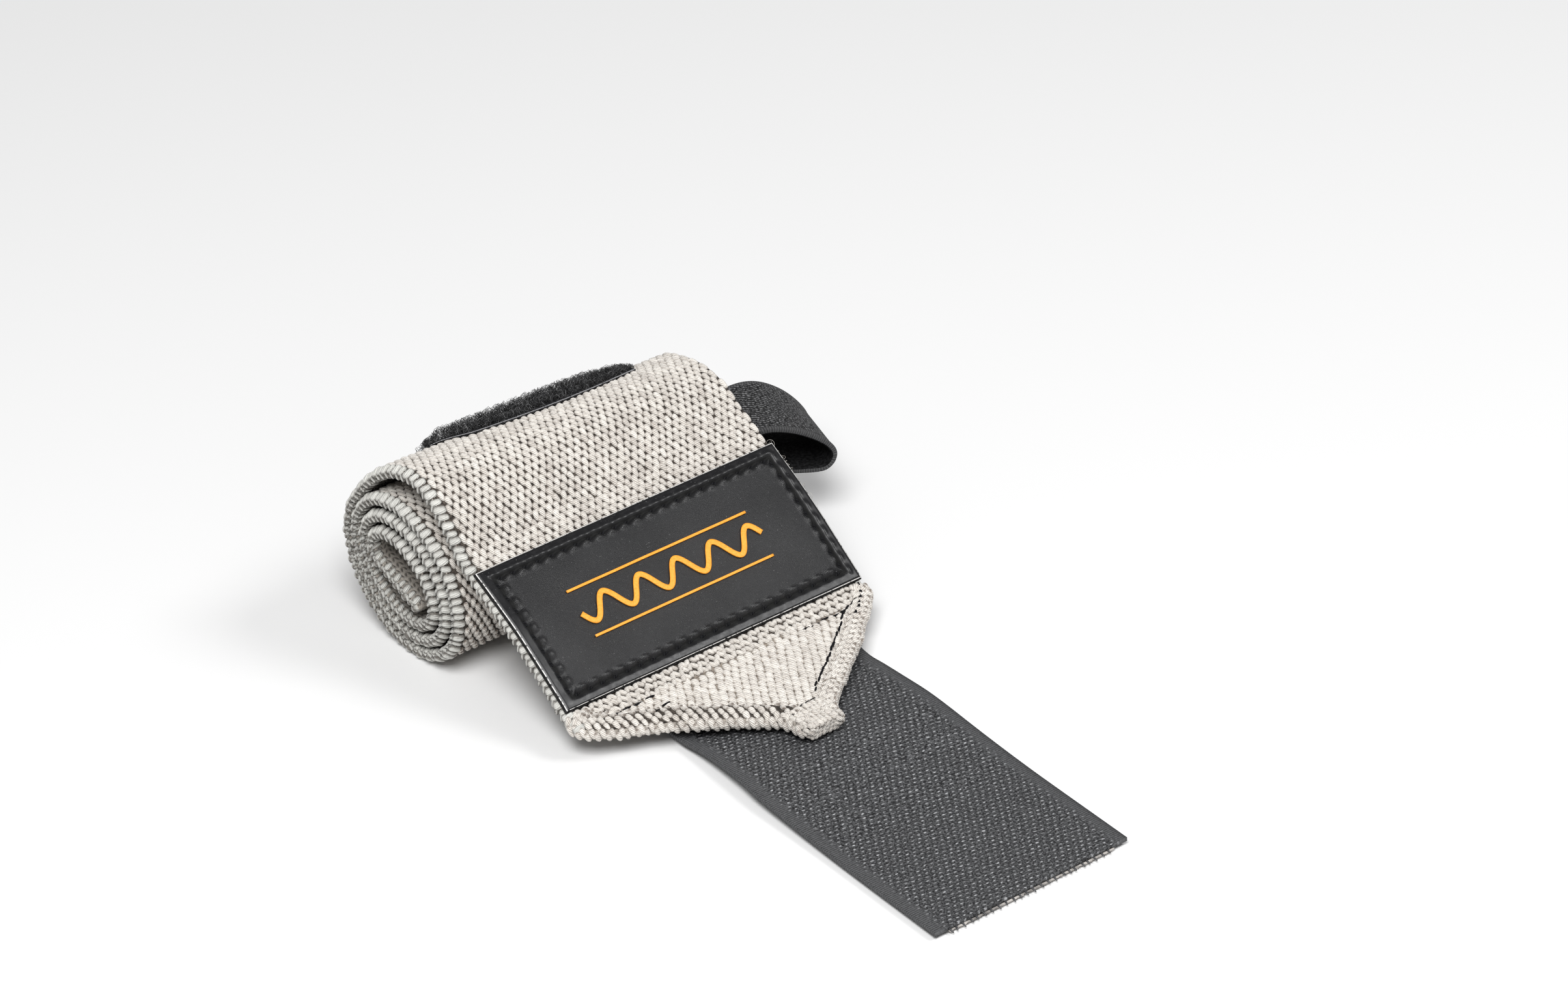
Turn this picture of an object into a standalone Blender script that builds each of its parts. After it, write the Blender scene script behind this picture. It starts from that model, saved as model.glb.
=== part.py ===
# Wrist wrap, rolled up and lying on a table.
# A knitted elastic band is wound into an oval roll. Its outer turn lifts off the top of the
# roll, slopes down in front under a sewn label patch and ends in a folded point. A hook strap
# runs out from under the point, a loop pad lies on the back of the outer turn, and a thumb
# loop comes out of the core at the right-hand end.
import math

import bpy
from mathutils import Vector

# Units: the sizes and tables below are in millimetres and are turned into metres as the
# meshes are made. "along" runs with the roll's axis from its left end to its right end,
# "front" runs from the roll towards the strap, "up" is the height over the table.
MM = 0.001

# Band
BAND_WIDTH = 78.0
BAND_THICK = 2.5
ROLL_LEFT = -2.3
FLAP_LEFT = -0.5
SEAT_GAP = 0.3
TURN_STEPS = 26
TAIL_STEP = 3.2
PAIR_STEP = 4.5
POINT_STEP = 6.4

# Oval spiral of the roll: long and short half axes, centre and tilt, for a number of turns u
# counted inwards from the crown.
SPIRAL_LONG = (20.5, -3.3)
SPIRAL_SHORT = (17.55, -2.85, -0.25)
SPIRAL_FRONT = (0.1, -0.62)
SPIRAL_UP = (18.5, -0.45)
SPIRAL_TILT = math.radians(32.0)
SPIRAL_OUTER = 0.25
SPIRAL_INNER = 3.28

# Inner end of the band, lying flat across the core.
TAIL_ROWS = [
    # front, up
    (-2.6, 14.7),
    (1.0, 13.2),
    (4.4, 11.9),
]

# Outer turn and flap, from the back of the roll to the lower edge of the patch. The left and
# right ends of the roll differ: on the left the turn stands off the roll.
FLAP_ROWS = [
    # name, left front, left up, right front, right up, share of the shift to the right
    ("shoulder", -17.6, 26.6, -17.2, 26.6, 0.0),
    ("back_top", -11.6, 34.9, -10.9, 34.2, 0.25),
    ("crown_back", -5.4, 39.7, -5.2, 36.9, 0.40),
    ("crown", 1.6, 41.5, 1.0, 37.8, 0.55),
    ("front_top", 7.8, 39.3, 7.2, 36.3, 0.75),
    ("slope", 13.2, 33.6, 13.4, 32.3, 0.90),
    ("dip", 17.0, 28.6, 18.2, 29.2, 1.0),
    ("patch_top", 20.4, 26.2, 21.6, 27.2, 1.0),
    ("patch_mid", 34.4, 18.3, 34.9, 19.0, 1.0),
    ("patch_low", 49.6, 7.4, 49.9, 7.9, 1.0),
]

# Folded point: the two edges run in to the tip, each with a thick turned hem.
POINT_ROWS = [
    # left along, left front, right along, right front, up
    (-0.6, 54.0, 77.6, 53.2, 6.2),
    (3.2, 57.3, 73.8, 57.1, 5.7),
    (9.0, 60.2, 69.6, 60.4, 5.4),
    (15.6, 63.5, 65.2, 64.2, 5.3),
    (22.2, 68.0, 60.2, 68.0, 5.3),
    (27.8, 72.4, 54.4, 72.4, 5.4),
    (32.2, 76.4, 49.2, 76.2, 5.6),
    (33.8, 79.4, 46.0, 79.2, 5.7),
    (34.0, 82.2, 44.2, 82.2, 5.7),
    (35.4, 84.0, 42.8, 84.0, 5.7),
]
HEM_THICK = 4.0
HEM_STATIONS = [
    # distance from the edge, share of the hem's extra thickness
    (0.0, 0.35),
    (1.5, 0.95),
    (4.2, 1.0),
    (6.4, 0.0),
]
HEM_ROOM = 2.6
HEM_SWELL_SECTIONS = 2
MIDDLE_STATIONS = 3

# Label patch, sewn on the slope of the flap.
PATCH_WIDTH = 77.0
PATCH_THICK = 1.0
PATCH_STATIONS = 12

# Loop pad on the back of the outer turn, its front edge bowed forwards in the middle.
PAD_LEFT = 14.0
PAD_WIDTH = 50.0
PAD_THICK = 2.2
PAD_STATIONS = 8
PAD_TURN_START = 0.30
PAD_LAST_SECTION = 6
PAD_BOW = 2.2

# Hook strap: sewn under the flap, then lying out on the table, turned a little to the left.
# Its upper face is flat; below, the hooks make it thick between two thin woven edges.
STRAP_WIDTH = 50.0
STRAP_THICK = 1.7
STRAP_EDGE_THICK = 0.8
STRAP_STEP = 5.0
STRAP_SEWN_FROM = 24.0
STRAP_STATIONS = [
    # share of the half width, share of the hooks' thickness
    (-1.0, 0.0),
    (-0.86, 0.0),
    (-0.80, 1.0),
    (0.0, 1.0),
    (0.80, 1.0),
    (0.86, 0.0),
    (1.0, 0.0),
]
STRAP_ROWS = [
    # centre along, front, height of the upper face, width
    (43.0, 53.4, 4.2, 50.0),
    (42.9, 56.4, 3.2, 50.0),
    (42.7, 60.0, 2.4, 49.8),
    (42.5, 65.0, 1.9, 49.2),
    (42.3, 70.0, 2.4, 48.8),
    (41.9, 76.0, 2.85, 48.8),
    (41.4, 84.0, 3.05, 49.4),
    (40.8, 91.0, 2.8, 50.0),
    (40.3, 99.0, 2.4, 50.0),
    (39.8, 108.0, 2.0, 50.0),
    (39.3, 117.0, 1.75, 50.0),
    (38.9, 124.0, 1.7, 50.0),
    (38.5, 131.0, 1.7, 50.0),
    (37.6, 147.3, 1.7, 50.0),
]

# Thumb loop: an elastic tape whose two ends lie in the core; the loop bends forwards.
LOOP_THICK = 1.4
LOOP_ROWS = [
    # along, front, up, width, lean of the width direction in degrees, rise of it in degrees
    (60.0, -1.4, 19.5, 11.0, 0.0, 24.0),
    (75.0, -1.3, 19.5, 11.5, 2.0, 23.0),
    (80.0, 0.2, 21.2, 15.0, 12.0, 10.0),
    (86.0, 3.4, 24.6, 18.5, 20.0, 3.0),
    (91.0, 5.3, 24.3, 20.0, 22.0, 1.0),
    (96.0, 7.1, 21.7, 20.0, 22.0, -1.0),
    (99.8, 8.7, 18.2, 20.0, 22.0, -5.0),
    (101.4, 9.4, 14.9, 20.0, 22.0, -7.0),
    (99.6, 8.8, 12.5, 20.0, 22.0, -5.0),
    (94.6, 6.6, 13.2, 19.0, 22.0, 0.0),
    (88.0, 3.4, 14.8, 17.0, 16.0, 8.0),
    (80.0, 0.0, 16.3, 14.0, 10.0, 16.0),
    (75.0, -2.0, 17.3, 11.5, 2.0, 23.0),
    (60.0, -2.1, 17.5, 11.0, 0.0, 24.0),
]
LOOP_STATIONS = 4
LOOP_STEP = 2.2

# Colours of the five materials
KNIT_COLOR = (0.62, 0.59, 0.54)
LEATHER_COLOR = (0.015, 0.015, 0.017)
PILE_COLOR = (0.02, 0.02, 0.022)
HOOK_TAPE_COLOR = (0.045, 0.045, 0.05)
LOOP_TAPE_COLOR = (0.02, 0.02, 0.022)


def place(along, front, up):
    """A point of the tables as a point of the model, in metres."""
    return Vector((along, -front, up)) * MM


def curve_through(rows, step):
    """Rows of numbers, made denser along a smooth curve through all of them."""
    padded = [rows[0]] + list(rows) + [rows[-1]]
    dense = []
    for number in range(len(rows) - 1):
        before, start, end, after = padded[number:number + 4]
        gap = math.dist(start, end)
        pieces = max(1, round(gap / step))
        for piece in range(pieces):
            t = piece / pieces
            dense.append([
                0.5 * (2 * b + (c - a) * t + (2 * a - 5 * b + 4 * c - d) * t ** 2
                       + (3 * b - a - 3 * c + d) * t ** 3)
                for a, b, c, d in zip(before, start, end, after)
            ])
    dense.append(list(rows[-1]))
    return dense


def spiral_point(turn):
    """Front and up of the roll's centre line, a number of turns in from the crown."""
    long_half = SPIRAL_LONG[0] + SPIRAL_LONG[1] * turn
    short_half = SPIRAL_SHORT[0] + SPIRAL_SHORT[1] * turn + SPIRAL_SHORT[2] * turn ** 2
    angle = math.pi / 2 + 2 * math.pi * turn + SPIRAL_TILT
    long_part = long_half * math.cos(angle)
    short_part = short_half * math.sin(angle)
    front = SPIRAL_FRONT[0] + SPIRAL_FRONT[1] * turn
    up = SPIRAL_UP[0] + SPIRAL_UP[1] * turn
    front += long_part * math.cos(SPIRAL_TILT) + short_part * math.sin(SPIRAL_TILT)
    up += short_part * math.cos(SPIRAL_TILT) - long_part * math.sin(SPIRAL_TILT)
    return front, up


def roll_sections():
    """Sections of the band from its inner end to the back of the outer turn."""
    turns = SPIRAL_INNER - SPIRAL_OUTER
    count = round(turns * TURN_STEPS)
    spiral = [spiral_point(SPIRAL_INNER - turns * n / count) for n in range(count + 1)]
    tail = curve_through(TAIL_ROWS[::-1] + [spiral[0]], TAIL_STEP)[:-1]
    right = ROLL_LEFT + BAND_WIDTH
    return [((ROLL_LEFT, f, u), (right, f, u)) for f, u in tail + spiral]


def flap_sections():
    """Sections of the outer turn and flap, from the back of the roll to the patch's foot."""
    back_front, back_up = spiral_point(SPIRAL_OUTER)
    rows = [(back_front, back_up, back_front, back_up, 0.0)]
    rows += [row[1:] for row in FLAP_ROWS]
    sections = []
    for left_front, left_up, right_front, right_up, share in curve_through(rows, PAIR_STEP)[1:]:
        left = ROLL_LEFT + (FLAP_LEFT - ROLL_LEFT) * share
        right = left + BAND_WIDTH
        sections.append(((left, left_front, left_up), (right, right_front, right_up)))
    return sections


def point_sections():
    """Sections of the folded point, each narrower than the one before."""
    foot = FLAP_ROWS[-1]
    rows = [(FLAP_LEFT, foot[1], FLAP_LEFT + BAND_WIDTH, foot[3], (foot[2] + foot[4]) / 2)]
    rows += POINT_ROWS
    dense = curve_through(rows, POINT_STEP)[1:]
    return [((la, lf, up), (ra, rf, up)) for la, lf, ra, rf, up in dense]


def across(section, distance):
    """The point of a section at a distance from its left edge, or from its right if negative."""
    left, right = place(*section[0]), place(*section[1])
    width = (right - left).length
    share = distance * MM / width if distance >= 0 else 1 + distance * MM / width
    return left.lerp(right, share)


def section_normal(sections, number, share):
    """Outward direction of the band at a section."""
    last = len(sections) - 1
    behind, ahead = sections[max(0, number - 1)], sections[min(last, number + 1)]
    run = place(*ahead[0]).lerp(place(*ahead[1]), share)
    run -= place(*behind[0]).lerp(place(*behind[1]), share)
    width = place(*sections[number][1]) - place(*sections[number][0])
    return width.cross(run).normalized() * -1


def grid_object(name, rows, collection):
    """An open sheet: a grid primitive whose points are moved onto the rows of points."""
    bpy.ops.mesh.primitive_grid_add(x_subdivisions=len(rows[0]) - 1, y_subdivisions=len(rows) - 1)
    sheet = bpy.context.object
    sheet.name = name
    sheet.data.name = name
    points = [point for row in rows for point in row]
    for vertex, point in zip(sheet.data.vertices, points):
        vertex.co = point
    sheet.data.update()
    for owner in sheet.users_collection:
        owner.objects.unlink(sheet)
    collection.objects.link(sheet)
    return sheet


def give_thickness(sheet, thickness, offset=0.0):
    """Turns a sheet into a wall: the sheet is its middle at offset 0, its upper face at 1."""
    wall = sheet.modifiers.new("wall", "SOLIDIFY")
    wall.thickness = thickness * MM
    wall.offset = offset
    wall.use_even_offset = False
    sheet.data.shade_smooth()
    return wall


def finish(sheet, color, roughness, sheen=0.0):
    """The piece's own material."""
    material = bpy.data.materials.new(sheet.name)
    material.use_nodes = True
    shader = material.node_tree.nodes["Principled BSDF"]
    shader.inputs["Base Color"].default_value = (*color, 1.0)
    shader.inputs["Roughness"].default_value = roughness
    shader.inputs["Sheen Weight"].default_value = sheen
    sheet.data.materials.append(material)


def make_band(collection):
    """Knitted elastic band: roll, outer turn, flap and folded point, all one piece."""
    sections = roll_sections() + flap_sections() + point_sections()
    rows = []
    hem_share = []
    point_start = len(sections) - len(point_sections())
    reach = HEM_STATIONS[-1][0]
    shares = [share for _, share in HEM_STATIONS]
    for number, section in enumerate(sections):
        width = (place(*section[1]) - place(*section[0])).length / MM
        squeeze = min(1.0, width / (HEM_ROOM * reach))
        edge = [distance * squeeze for distance, _ in HEM_STATIONS]
        inner = width - 2 * edge[-1]
        middle = [edge[-1] + inner * n / (MIDDLE_STATIONS + 1) for n in range(1, MIDDLE_STATIONS + 1)]
        row = [across(section, distance) for distance in edge + middle]
        row += [across(section, width - distance) for distance in reversed(edge)]
        rows.append(row)
        swell = min(1.0, max(0.0, (number - point_start + 1) / HEM_SWELL_SECTIONS))
        hem_share += [s * swell for s in shares + [0.0] * MIDDLE_STATIONS + shares[::-1]]
    band = grid_object("elastic_band", rows, collection)
    hem = band.vertex_groups.new(name="hem")
    for index, share in enumerate(hem_share):
        hem.add([index], share, "REPLACE")
    wall = give_thickness(band, HEM_THICK)
    wall.vertex_group = hem.name
    wall.thickness_vertex_group = BAND_THICK / HEM_THICK
    finish(band, KNIT_COLOR, 0.9, 0.3)
    return band


def layer_rows(sections, first, last, offset, stations):
    """Rows of points held at an offset over the band's middle surface."""
    rows = []
    for number in range(first, last + 1):
        left, right = place(*sections[number][0]), place(*sections[number][1])
        width = (right - left).length / MM
        row = []
        for distance in stations:
            share = distance / width
            normal = section_normal(sections, number, share)
            row.append(left.lerp(right, share) + normal * offset * MM)
        rows.append(row)
    return rows


def evenly(start, end, count):
    """Evenly spaced numbers from start to end."""
    return [start + (end - start) * n / (count - 1) for n in range(count)]


def make_patch(collection):
    """Label patch: a flat leather rectangle lying on the slope, flush with both edges."""
    sections = flap_sections()
    # the patch runs from the row called patch_top to the foot of the flap
    top_front = next(row[1] for row in FLAP_ROWS if row[0] == "patch_top")
    first = min(range(len(sections)), key=lambda n: abs(sections[n][0][1] - top_front))
    offset = BAND_THICK / 2 + SEAT_GAP + PATCH_THICK / 2
    inset = (BAND_WIDTH - PATCH_WIDTH) / 2
    stations = evenly(inset, BAND_WIDTH - inset, PATCH_STATIONS)
    rows = layer_rows(sections, first, len(sections) - 1, offset, stations)
    patch = grid_object("label_patch", rows, collection)
    give_thickness(patch, PATCH_THICK)
    finish(patch, LEATHER_COLOR, 0.45)
    return patch


def make_loop_pad(collection):
    """Loop pad: a fuzzy rectangle sewn on the back of the outer turn."""
    sections = roll_sections() + flap_sections()
    roll_count = len(roll_sections())
    outer_turn = range(roll_count - TURN_STEPS, roll_count)
    start_point = spiral_point(PAD_TURN_START)
    first = min(outer_turn, key=lambda n: math.dist(sections[n][0][1:], start_point))
    last = roll_count + PAD_LAST_SECTION
    offset = BAND_THICK / 2 + SEAT_GAP + PAD_THICK / 2
    left = PAD_LEFT - ROLL_LEFT
    rows = layer_rows(sections, first, last, offset, evenly(left, left + PAD_WIDTH, PAD_STATIONS))
    # the front edge runs on a little further in its middle
    for before, point, side in zip(rows[-2], rows[-1], evenly(-1, 1, PAD_STATIONS)):
        point += (point - before).normalized() * PAD_BOW * (1 - side ** 2) * MM
    pad = grid_object("loop_pad", rows, collection)
    give_thickness(pad, PAD_THICK)
    finish(pad, PILE_COLOR, 0.95, 0.2)
    return pad


def make_strap(collection):
    """Hook strap: woven tape sewn under the flap and lying out on the table."""
    sections = flap_sections()
    half = STRAP_WIDTH / 2
    centre = STRAP_ROWS[0][0] - FLAP_LEFT
    shares = [share for share, _ in STRAP_STATIONS]
    stations = [centre + half * share for share in shares]
    first = next(n for n, s in enumerate(sections) if s[0][1] > STRAP_SEWN_FROM)
    rows = layer_rows(sections, first, len(sections) - 1, -BAND_THICK / 2 - SEAT_GAP, stations)
    for along, front, top, width in curve_through(STRAP_ROWS, STRAP_STEP):
        rows.append([place(along + width / 2 * share, front, top) for share in shares])
    strap = grid_object("hook_strap", rows, collection)
    hooks = strap.vertex_groups.new(name="hooks")
    for index in range(len(strap.data.vertices)):
        hooks.add([index], STRAP_STATIONS[index % len(STRAP_STATIONS)][1], "REPLACE")
    wall = give_thickness(strap, STRAP_THICK, offset=1.0)
    wall.vertex_group = hooks.name
    wall.thickness_vertex_group = STRAP_EDGE_THICK / STRAP_THICK
    finish(strap, HOOK_TAPE_COLOR, 0.7)
    return strap


def make_thumb_loop(collection):
    """Thumb loop: one tape from the core out to the right, round and back into the core."""
    rows = []
    for along, front, up, width, lean, rise in curve_through(LOOP_ROWS, LOOP_STEP):
        yaw, pitch = math.radians(lean), math.radians(rise)
        to_front = Vector((-math.sin(yaw) * math.cos(pitch), -math.cos(yaw) * math.cos(pitch),
                           -math.sin(pitch)))
        centre = place(along, front, up)
        rows.append([centre + to_front * d * MM for d in evenly(-width / 2, width / 2, LOOP_STATIONS)])
    loop = grid_object("thumb_loop", rows, collection)
    give_thickness(loop, LOOP_THICK)
    finish(loop, LOOP_TAPE_COLOR, 0.85, 0.2)
    return loop


def centre_on_origin(parts):
    """Moves everything so that the box of the whole wrap stands centred on the origin."""
    bpy.context.view_layer.update()
    depsgraph = bpy.context.evaluated_depsgraph_get()
    corners = []
    for part in parts:
        corners += [vertex.co.copy() for vertex in part.evaluated_get(depsgraph).data.vertices]
    low = Vector([min(c[axis] for c in corners) for axis in range(3)])
    high = Vector([max(c[axis] for c in corners) for axis in range(3)])
    shift = Vector((-(low.x + high.x) / 2, -(low.y + high.y) / 2, -low.z))
    for part in parts:
        for vertex in part.data.vertices:
            vertex.co += shift
        part.data.update()


for leftover in list(bpy.data.objects):
    bpy.data.objects.remove(leftover)

wrap = bpy.data.collections.new("wrist_wrap")
bpy.context.scene.collection.children.link(wrap)
pieces = [
    make_band(wrap),
    make_patch(wrap),
    make_loop_pad(wrap),
    make_strap(wrap),
    make_thumb_loop(wrap),
]
centre_on_origin(pieces)
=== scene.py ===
# Wrist wrap, wound into a roll and lying on a pale table with its hook strap run out.
import math
import random

import bpy
import numpy as np
from mathutils import Matrix, Vector


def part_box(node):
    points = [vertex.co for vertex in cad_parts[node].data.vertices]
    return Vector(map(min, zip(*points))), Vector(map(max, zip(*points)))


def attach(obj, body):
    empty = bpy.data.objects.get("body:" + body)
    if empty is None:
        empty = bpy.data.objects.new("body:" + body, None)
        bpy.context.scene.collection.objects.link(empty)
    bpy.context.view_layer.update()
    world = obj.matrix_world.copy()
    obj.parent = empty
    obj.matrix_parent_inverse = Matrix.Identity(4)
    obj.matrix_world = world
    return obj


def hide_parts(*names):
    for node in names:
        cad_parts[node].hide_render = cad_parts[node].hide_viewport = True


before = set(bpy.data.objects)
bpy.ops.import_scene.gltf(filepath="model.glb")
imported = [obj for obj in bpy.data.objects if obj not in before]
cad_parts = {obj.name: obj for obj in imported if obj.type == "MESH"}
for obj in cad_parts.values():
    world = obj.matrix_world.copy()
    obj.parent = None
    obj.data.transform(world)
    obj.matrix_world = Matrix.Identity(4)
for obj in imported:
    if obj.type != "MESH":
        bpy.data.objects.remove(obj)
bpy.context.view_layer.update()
bpy.ops.object.select_all(action="DESELECT")


# Band: one length of coarse elastic knit, 78 mm wide, in undyed light grey yarn. It is wound
# from its inner end into an oval roll; the outer turn lifts off and slopes down in front, and
# the outer end is folded to a point. The tables are the ones that the solid is made from.
MM = 0.001
BAND_WIDTH = 78.0
ROLL_LEFT = -2.3
FLAP_LEFT = -0.5
TURN_STEPS = 26
TAIL_STEP = 3.2
PAIR_STEP = 4.5
POINT_STEP = 6.4
CLOTH_STEP = 0.5
SPIRAL_LONG = (20.5, -3.3)
SPIRAL_SHORT = (17.55, -2.85, -0.25)
SPIRAL_FRONT = (0.1, -0.62)
SPIRAL_UP = (18.5, -0.45)
SPIRAL_TILT = math.radians(32.0)
SPIRAL_OUTER = 0.25
SPIRAL_INNER = 3.28
TAIL_ROWS = [
    # front, up
    (-2.6, 14.7),
    (1.0, 13.2),
    (4.4, 11.9),
]
FLAP_ROWS = [
    # name, left front, left up, right front, right up, share of the shift to the right
    ("shoulder", -17.6, 26.6, -17.2, 26.6, 0.0),
    ("back_top", -11.6, 34.9, -10.9, 34.2, 0.25),
    ("crown_back", -5.4, 39.7, -5.2, 36.9, 0.40),
    ("crown", 1.6, 41.5, 1.0, 37.8, 0.55),
    ("front_top", 7.8, 39.3, 7.2, 36.3, 0.75),
    ("slope", 13.2, 33.6, 13.4, 32.3, 0.90),
    ("dip", 17.0, 28.6, 18.2, 29.2, 1.0),
    ("patch_top", 20.4, 26.2, 21.6, 27.2, 1.0),
    ("patch_mid", 34.4, 18.3, 34.9, 19.0, 1.0),
    ("patch_low", 49.6, 7.4, 49.9, 7.9, 1.0),
]
POINT_ROWS = [
    # left along, left front, right along, right front, up
    (-0.6, 54.0, 77.6, 53.2, 6.2),
    (3.2, 57.3, 73.8, 57.1, 5.7),
    (9.0, 60.2, 69.6, 60.4, 5.4),
    (15.6, 63.5, 65.2, 64.2, 5.3),
    (22.2, 68.0, 60.2, 68.0, 5.3),
    (27.8, 72.4, 54.4, 72.4, 5.4),
    (32.2, 76.4, 49.2, 76.2, 5.6),
    (33.8, 79.4, 46.0, 79.2, 5.7),
    (34.0, 82.2, 44.2, 82.2, 5.7),
    (35.4, 84.0, 42.8, 84.0, 5.7),
]
STRAP_END_FRONT = 147.3

# where the tables' own zero lies in the frame
ALONG_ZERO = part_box("elastic_band")[0][0] - ROLL_LEFT * MM
FRONT_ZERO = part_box("hook_strap")[0][1] + STRAP_END_FRONT * MM


def place(points):
    """Rows of along, front, up in millimetres as points of the frame in metres."""
    points = np.asarray(points, float)
    x = ALONG_ZERO + points[..., 0] * MM
    y = FRONT_ZERO - points[..., 1] * MM
    return np.stack([x, y, points[..., 2] * MM], -1)


def curve_through(rows, step):
    """Rows of numbers, made denser along a smooth curve through all of them."""
    padded = [rows[0]] + list(rows) + [rows[-1]]
    dense = []
    for number in range(len(rows) - 1):
        before, start, end, after = padded[number:number + 4]
        pieces = max(1, round(math.dist(start, end) / step))
        for piece in range(pieces):
            t = piece / pieces
            dense.append([
                0.5 * (2 * b + (c - a) * t + (2 * a - 5 * b + 4 * c - d) * t ** 2
                       + (3 * b - a - 3 * c + d) * t ** 3)
                for a, b, c, d in zip(before, start, end, after)
            ])
    dense.append(list(rows[-1]))
    return dense


def spiral_point(turn):
    """Front and up of the roll's centre line, a number of turns in from the crown."""
    long_half = SPIRAL_LONG[0] + SPIRAL_LONG[1] * turn
    short_half = SPIRAL_SHORT[0] + SPIRAL_SHORT[1] * turn + SPIRAL_SHORT[2] * turn ** 2
    angle = math.pi / 2 + 2 * math.pi * turn + SPIRAL_TILT
    long_part = long_half * math.cos(angle)
    short_part = short_half * math.sin(angle)
    front = SPIRAL_FRONT[0] + SPIRAL_FRONT[1] * turn
    up = SPIRAL_UP[0] + SPIRAL_UP[1] * turn
    front += long_part * math.cos(SPIRAL_TILT) + short_part * math.sin(SPIRAL_TILT)
    up += short_part * math.cos(SPIRAL_TILT) - long_part * math.sin(SPIRAL_TILT)
    return front, up


def band_rows():
    """The band's left and right edge, section by section, from the inner end to the tip."""
    turns = SPIRAL_INNER - SPIRAL_OUTER
    count = round(turns * TURN_STEPS)
    spiral = [spiral_point(SPIRAL_INNER - turns * n / count) for n in range(count + 1)]
    tail = curve_through(TAIL_ROWS[::-1] + [spiral[0]], TAIL_STEP)[:-1]
    right = ROLL_LEFT + BAND_WIDTH
    rows = [[ROLL_LEFT, f, u, right, f, u] for f, u in tail + spiral]
    front, up = spiral[-1]
    flap = [(front, up, front, up, 0.0)] + [row[1:] for row in FLAP_ROWS]
    for left_front, left_up, right_front, right_up, share in curve_through(flap, PAIR_STEP)[1:]:
        left = ROLL_LEFT + (FLAP_LEFT - ROLL_LEFT) * share
        rows.append([left, left_front, left_up, left + BAND_WIDTH, right_front, right_up])
    foot = FLAP_ROWS[-1]
    point = [(FLAP_LEFT, foot[1], FLAP_LEFT + BAND_WIDTH, foot[3], (foot[2] + foot[4]) / 2)]
    for la, lf, ra, rf, up in curve_through(point + POINT_ROWS, POINT_STEP)[1:]:
        rows.append([la, lf, up, ra, rf, up])
    return np.array(curve_through(rows, CLOTH_STEP))


def run_of(points):
    """Distance along a row of points, from the first one to each."""
    steps = np.linalg.norm(np.diff(points, axis=0), axis=1)
    return np.concatenate([[0.0], np.cumsum(steps)])


def points_at(run, runs, points):
    """Points of a row at distances along it."""
    return np.stack([np.interp(run, runs, column) for column in points.T], -1)


def unit(vectors):
    """The same directions, one long."""
    return vectors / np.linalg.norm(vectors, axis=-1)[..., None]


BAND_ROWS = band_rows()
band_left = BAND_ROWS[:, :3]
band_right = BAND_ROWS[:, 3:]
band_middle = (band_left + band_right) / 2
band_run = run_of(band_middle)
BAND_LENGTH = band_run[-1]


def run_at(front, after):
    """How far along the band its middle first reaches a front distance, after a given run."""
    reached = (band_run > after) & (band_middle[:, 1] >= front)
    return float(band_run[reached][0])


CROWN_RUN = float(band_run[np.argmax(band_middle[:, 2])])
PATCH_TOP_RUN = run_at(21.0, CROWN_RUN)
PATCH_LOW_RUN = run_at(49.75, CROWN_RUN)
# the directions of the cloth are read over this much of it, either way
WAY_REACH = 0.6


def edges_at(run):
    """Left and right edge points at runs along the band, in millimetres."""
    return points_at(run, band_run, band_left), points_at(run, band_run, band_right)


def on_band(run, across, lift):
    """Points on the band at a run, a distance from the left edge and a height over its middle
    surface, with the directions along, across and out of the cloth there."""
    run, across = np.broadcast_arrays(np.asarray(run, float), np.asarray(across, float))
    left, right = edges_at(run)
    wide = right - left
    share = (across / np.linalg.norm(wide, axis=-1))[..., None]
    behind_left, behind_right = edges_at(np.maximum(run - WAY_REACH, 0.0))
    ahead_left, ahead_right = edges_at(np.minimum(run + WAY_REACH, BAND_LENGTH))
    along = ahead_left + (ahead_right - ahead_left) * share
    along -= behind_left + (behind_right - behind_left) * share
    # the frame's Y runs against the tables' front
    flip = np.array([1.0, -1.0, 1.0])
    along, wide = unit(along) * flip, unit(wide) * flip
    out = unit(-np.cross(wide, along))
    middle = place(left + (right - left) * share)
    return middle + out * np.asarray(lift, float)[..., None] * MM, along, wide, out


def sheet_object(name, points, across_mm, along_mm):
    """A grid whose points are moved onto rows of points, with its map in metres of cloth."""
    rows, columns = points.shape[:2]
    bpy.ops.object.select_all(action="DESELECT")
    bpy.ops.mesh.primitive_grid_add(x_subdivisions=columns - 1, y_subdivisions=rows - 1)
    piece = bpy.context.object
    piece.name = name
    mesh = piece.data
    mesh.name = name
    mesh.vertices.foreach_set("co", points.reshape(-1))
    corners = np.empty(len(mesh.loops), int)
    mesh.loops.foreach_get("vertex_index", corners)
    cloth = np.stack([across_mm.reshape(-1), along_mm.reshape(-1)], -1) * MM
    mesh.uv_layers.active.data.foreach_set("uv", cloth[corners].reshape(-1))
    mesh.update()
    return piece


def apply_all(piece):
    """Applies every modifier of a piece, in order, and smooths its shading."""
    bpy.context.view_layer.objects.active = piece
    for modifier in list(piece.modifiers):
        bpy.ops.object.modifier_apply(modifier=modifier.name)
    piece.data.shade_smooth()


def uneven_wall(piece, shares, thin_mm, thick_mm):
    """Gives a sheet a wall about its middle, from thin to thick by a share for each point."""
    group = piece.vertex_groups.new(name="thickness")
    for index, share in enumerate(shares):
        group.add([index], float(share), "REPLACE")
    wall = piece.modifiers.new("wall", "SOLIDIFY")
    wall.thickness = thick_mm * MM
    wall.offset = 0.0
    wall.vertex_group = group.name
    wall.thickness_vertex_group = thin_mm / thick_mm
    return wall


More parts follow.
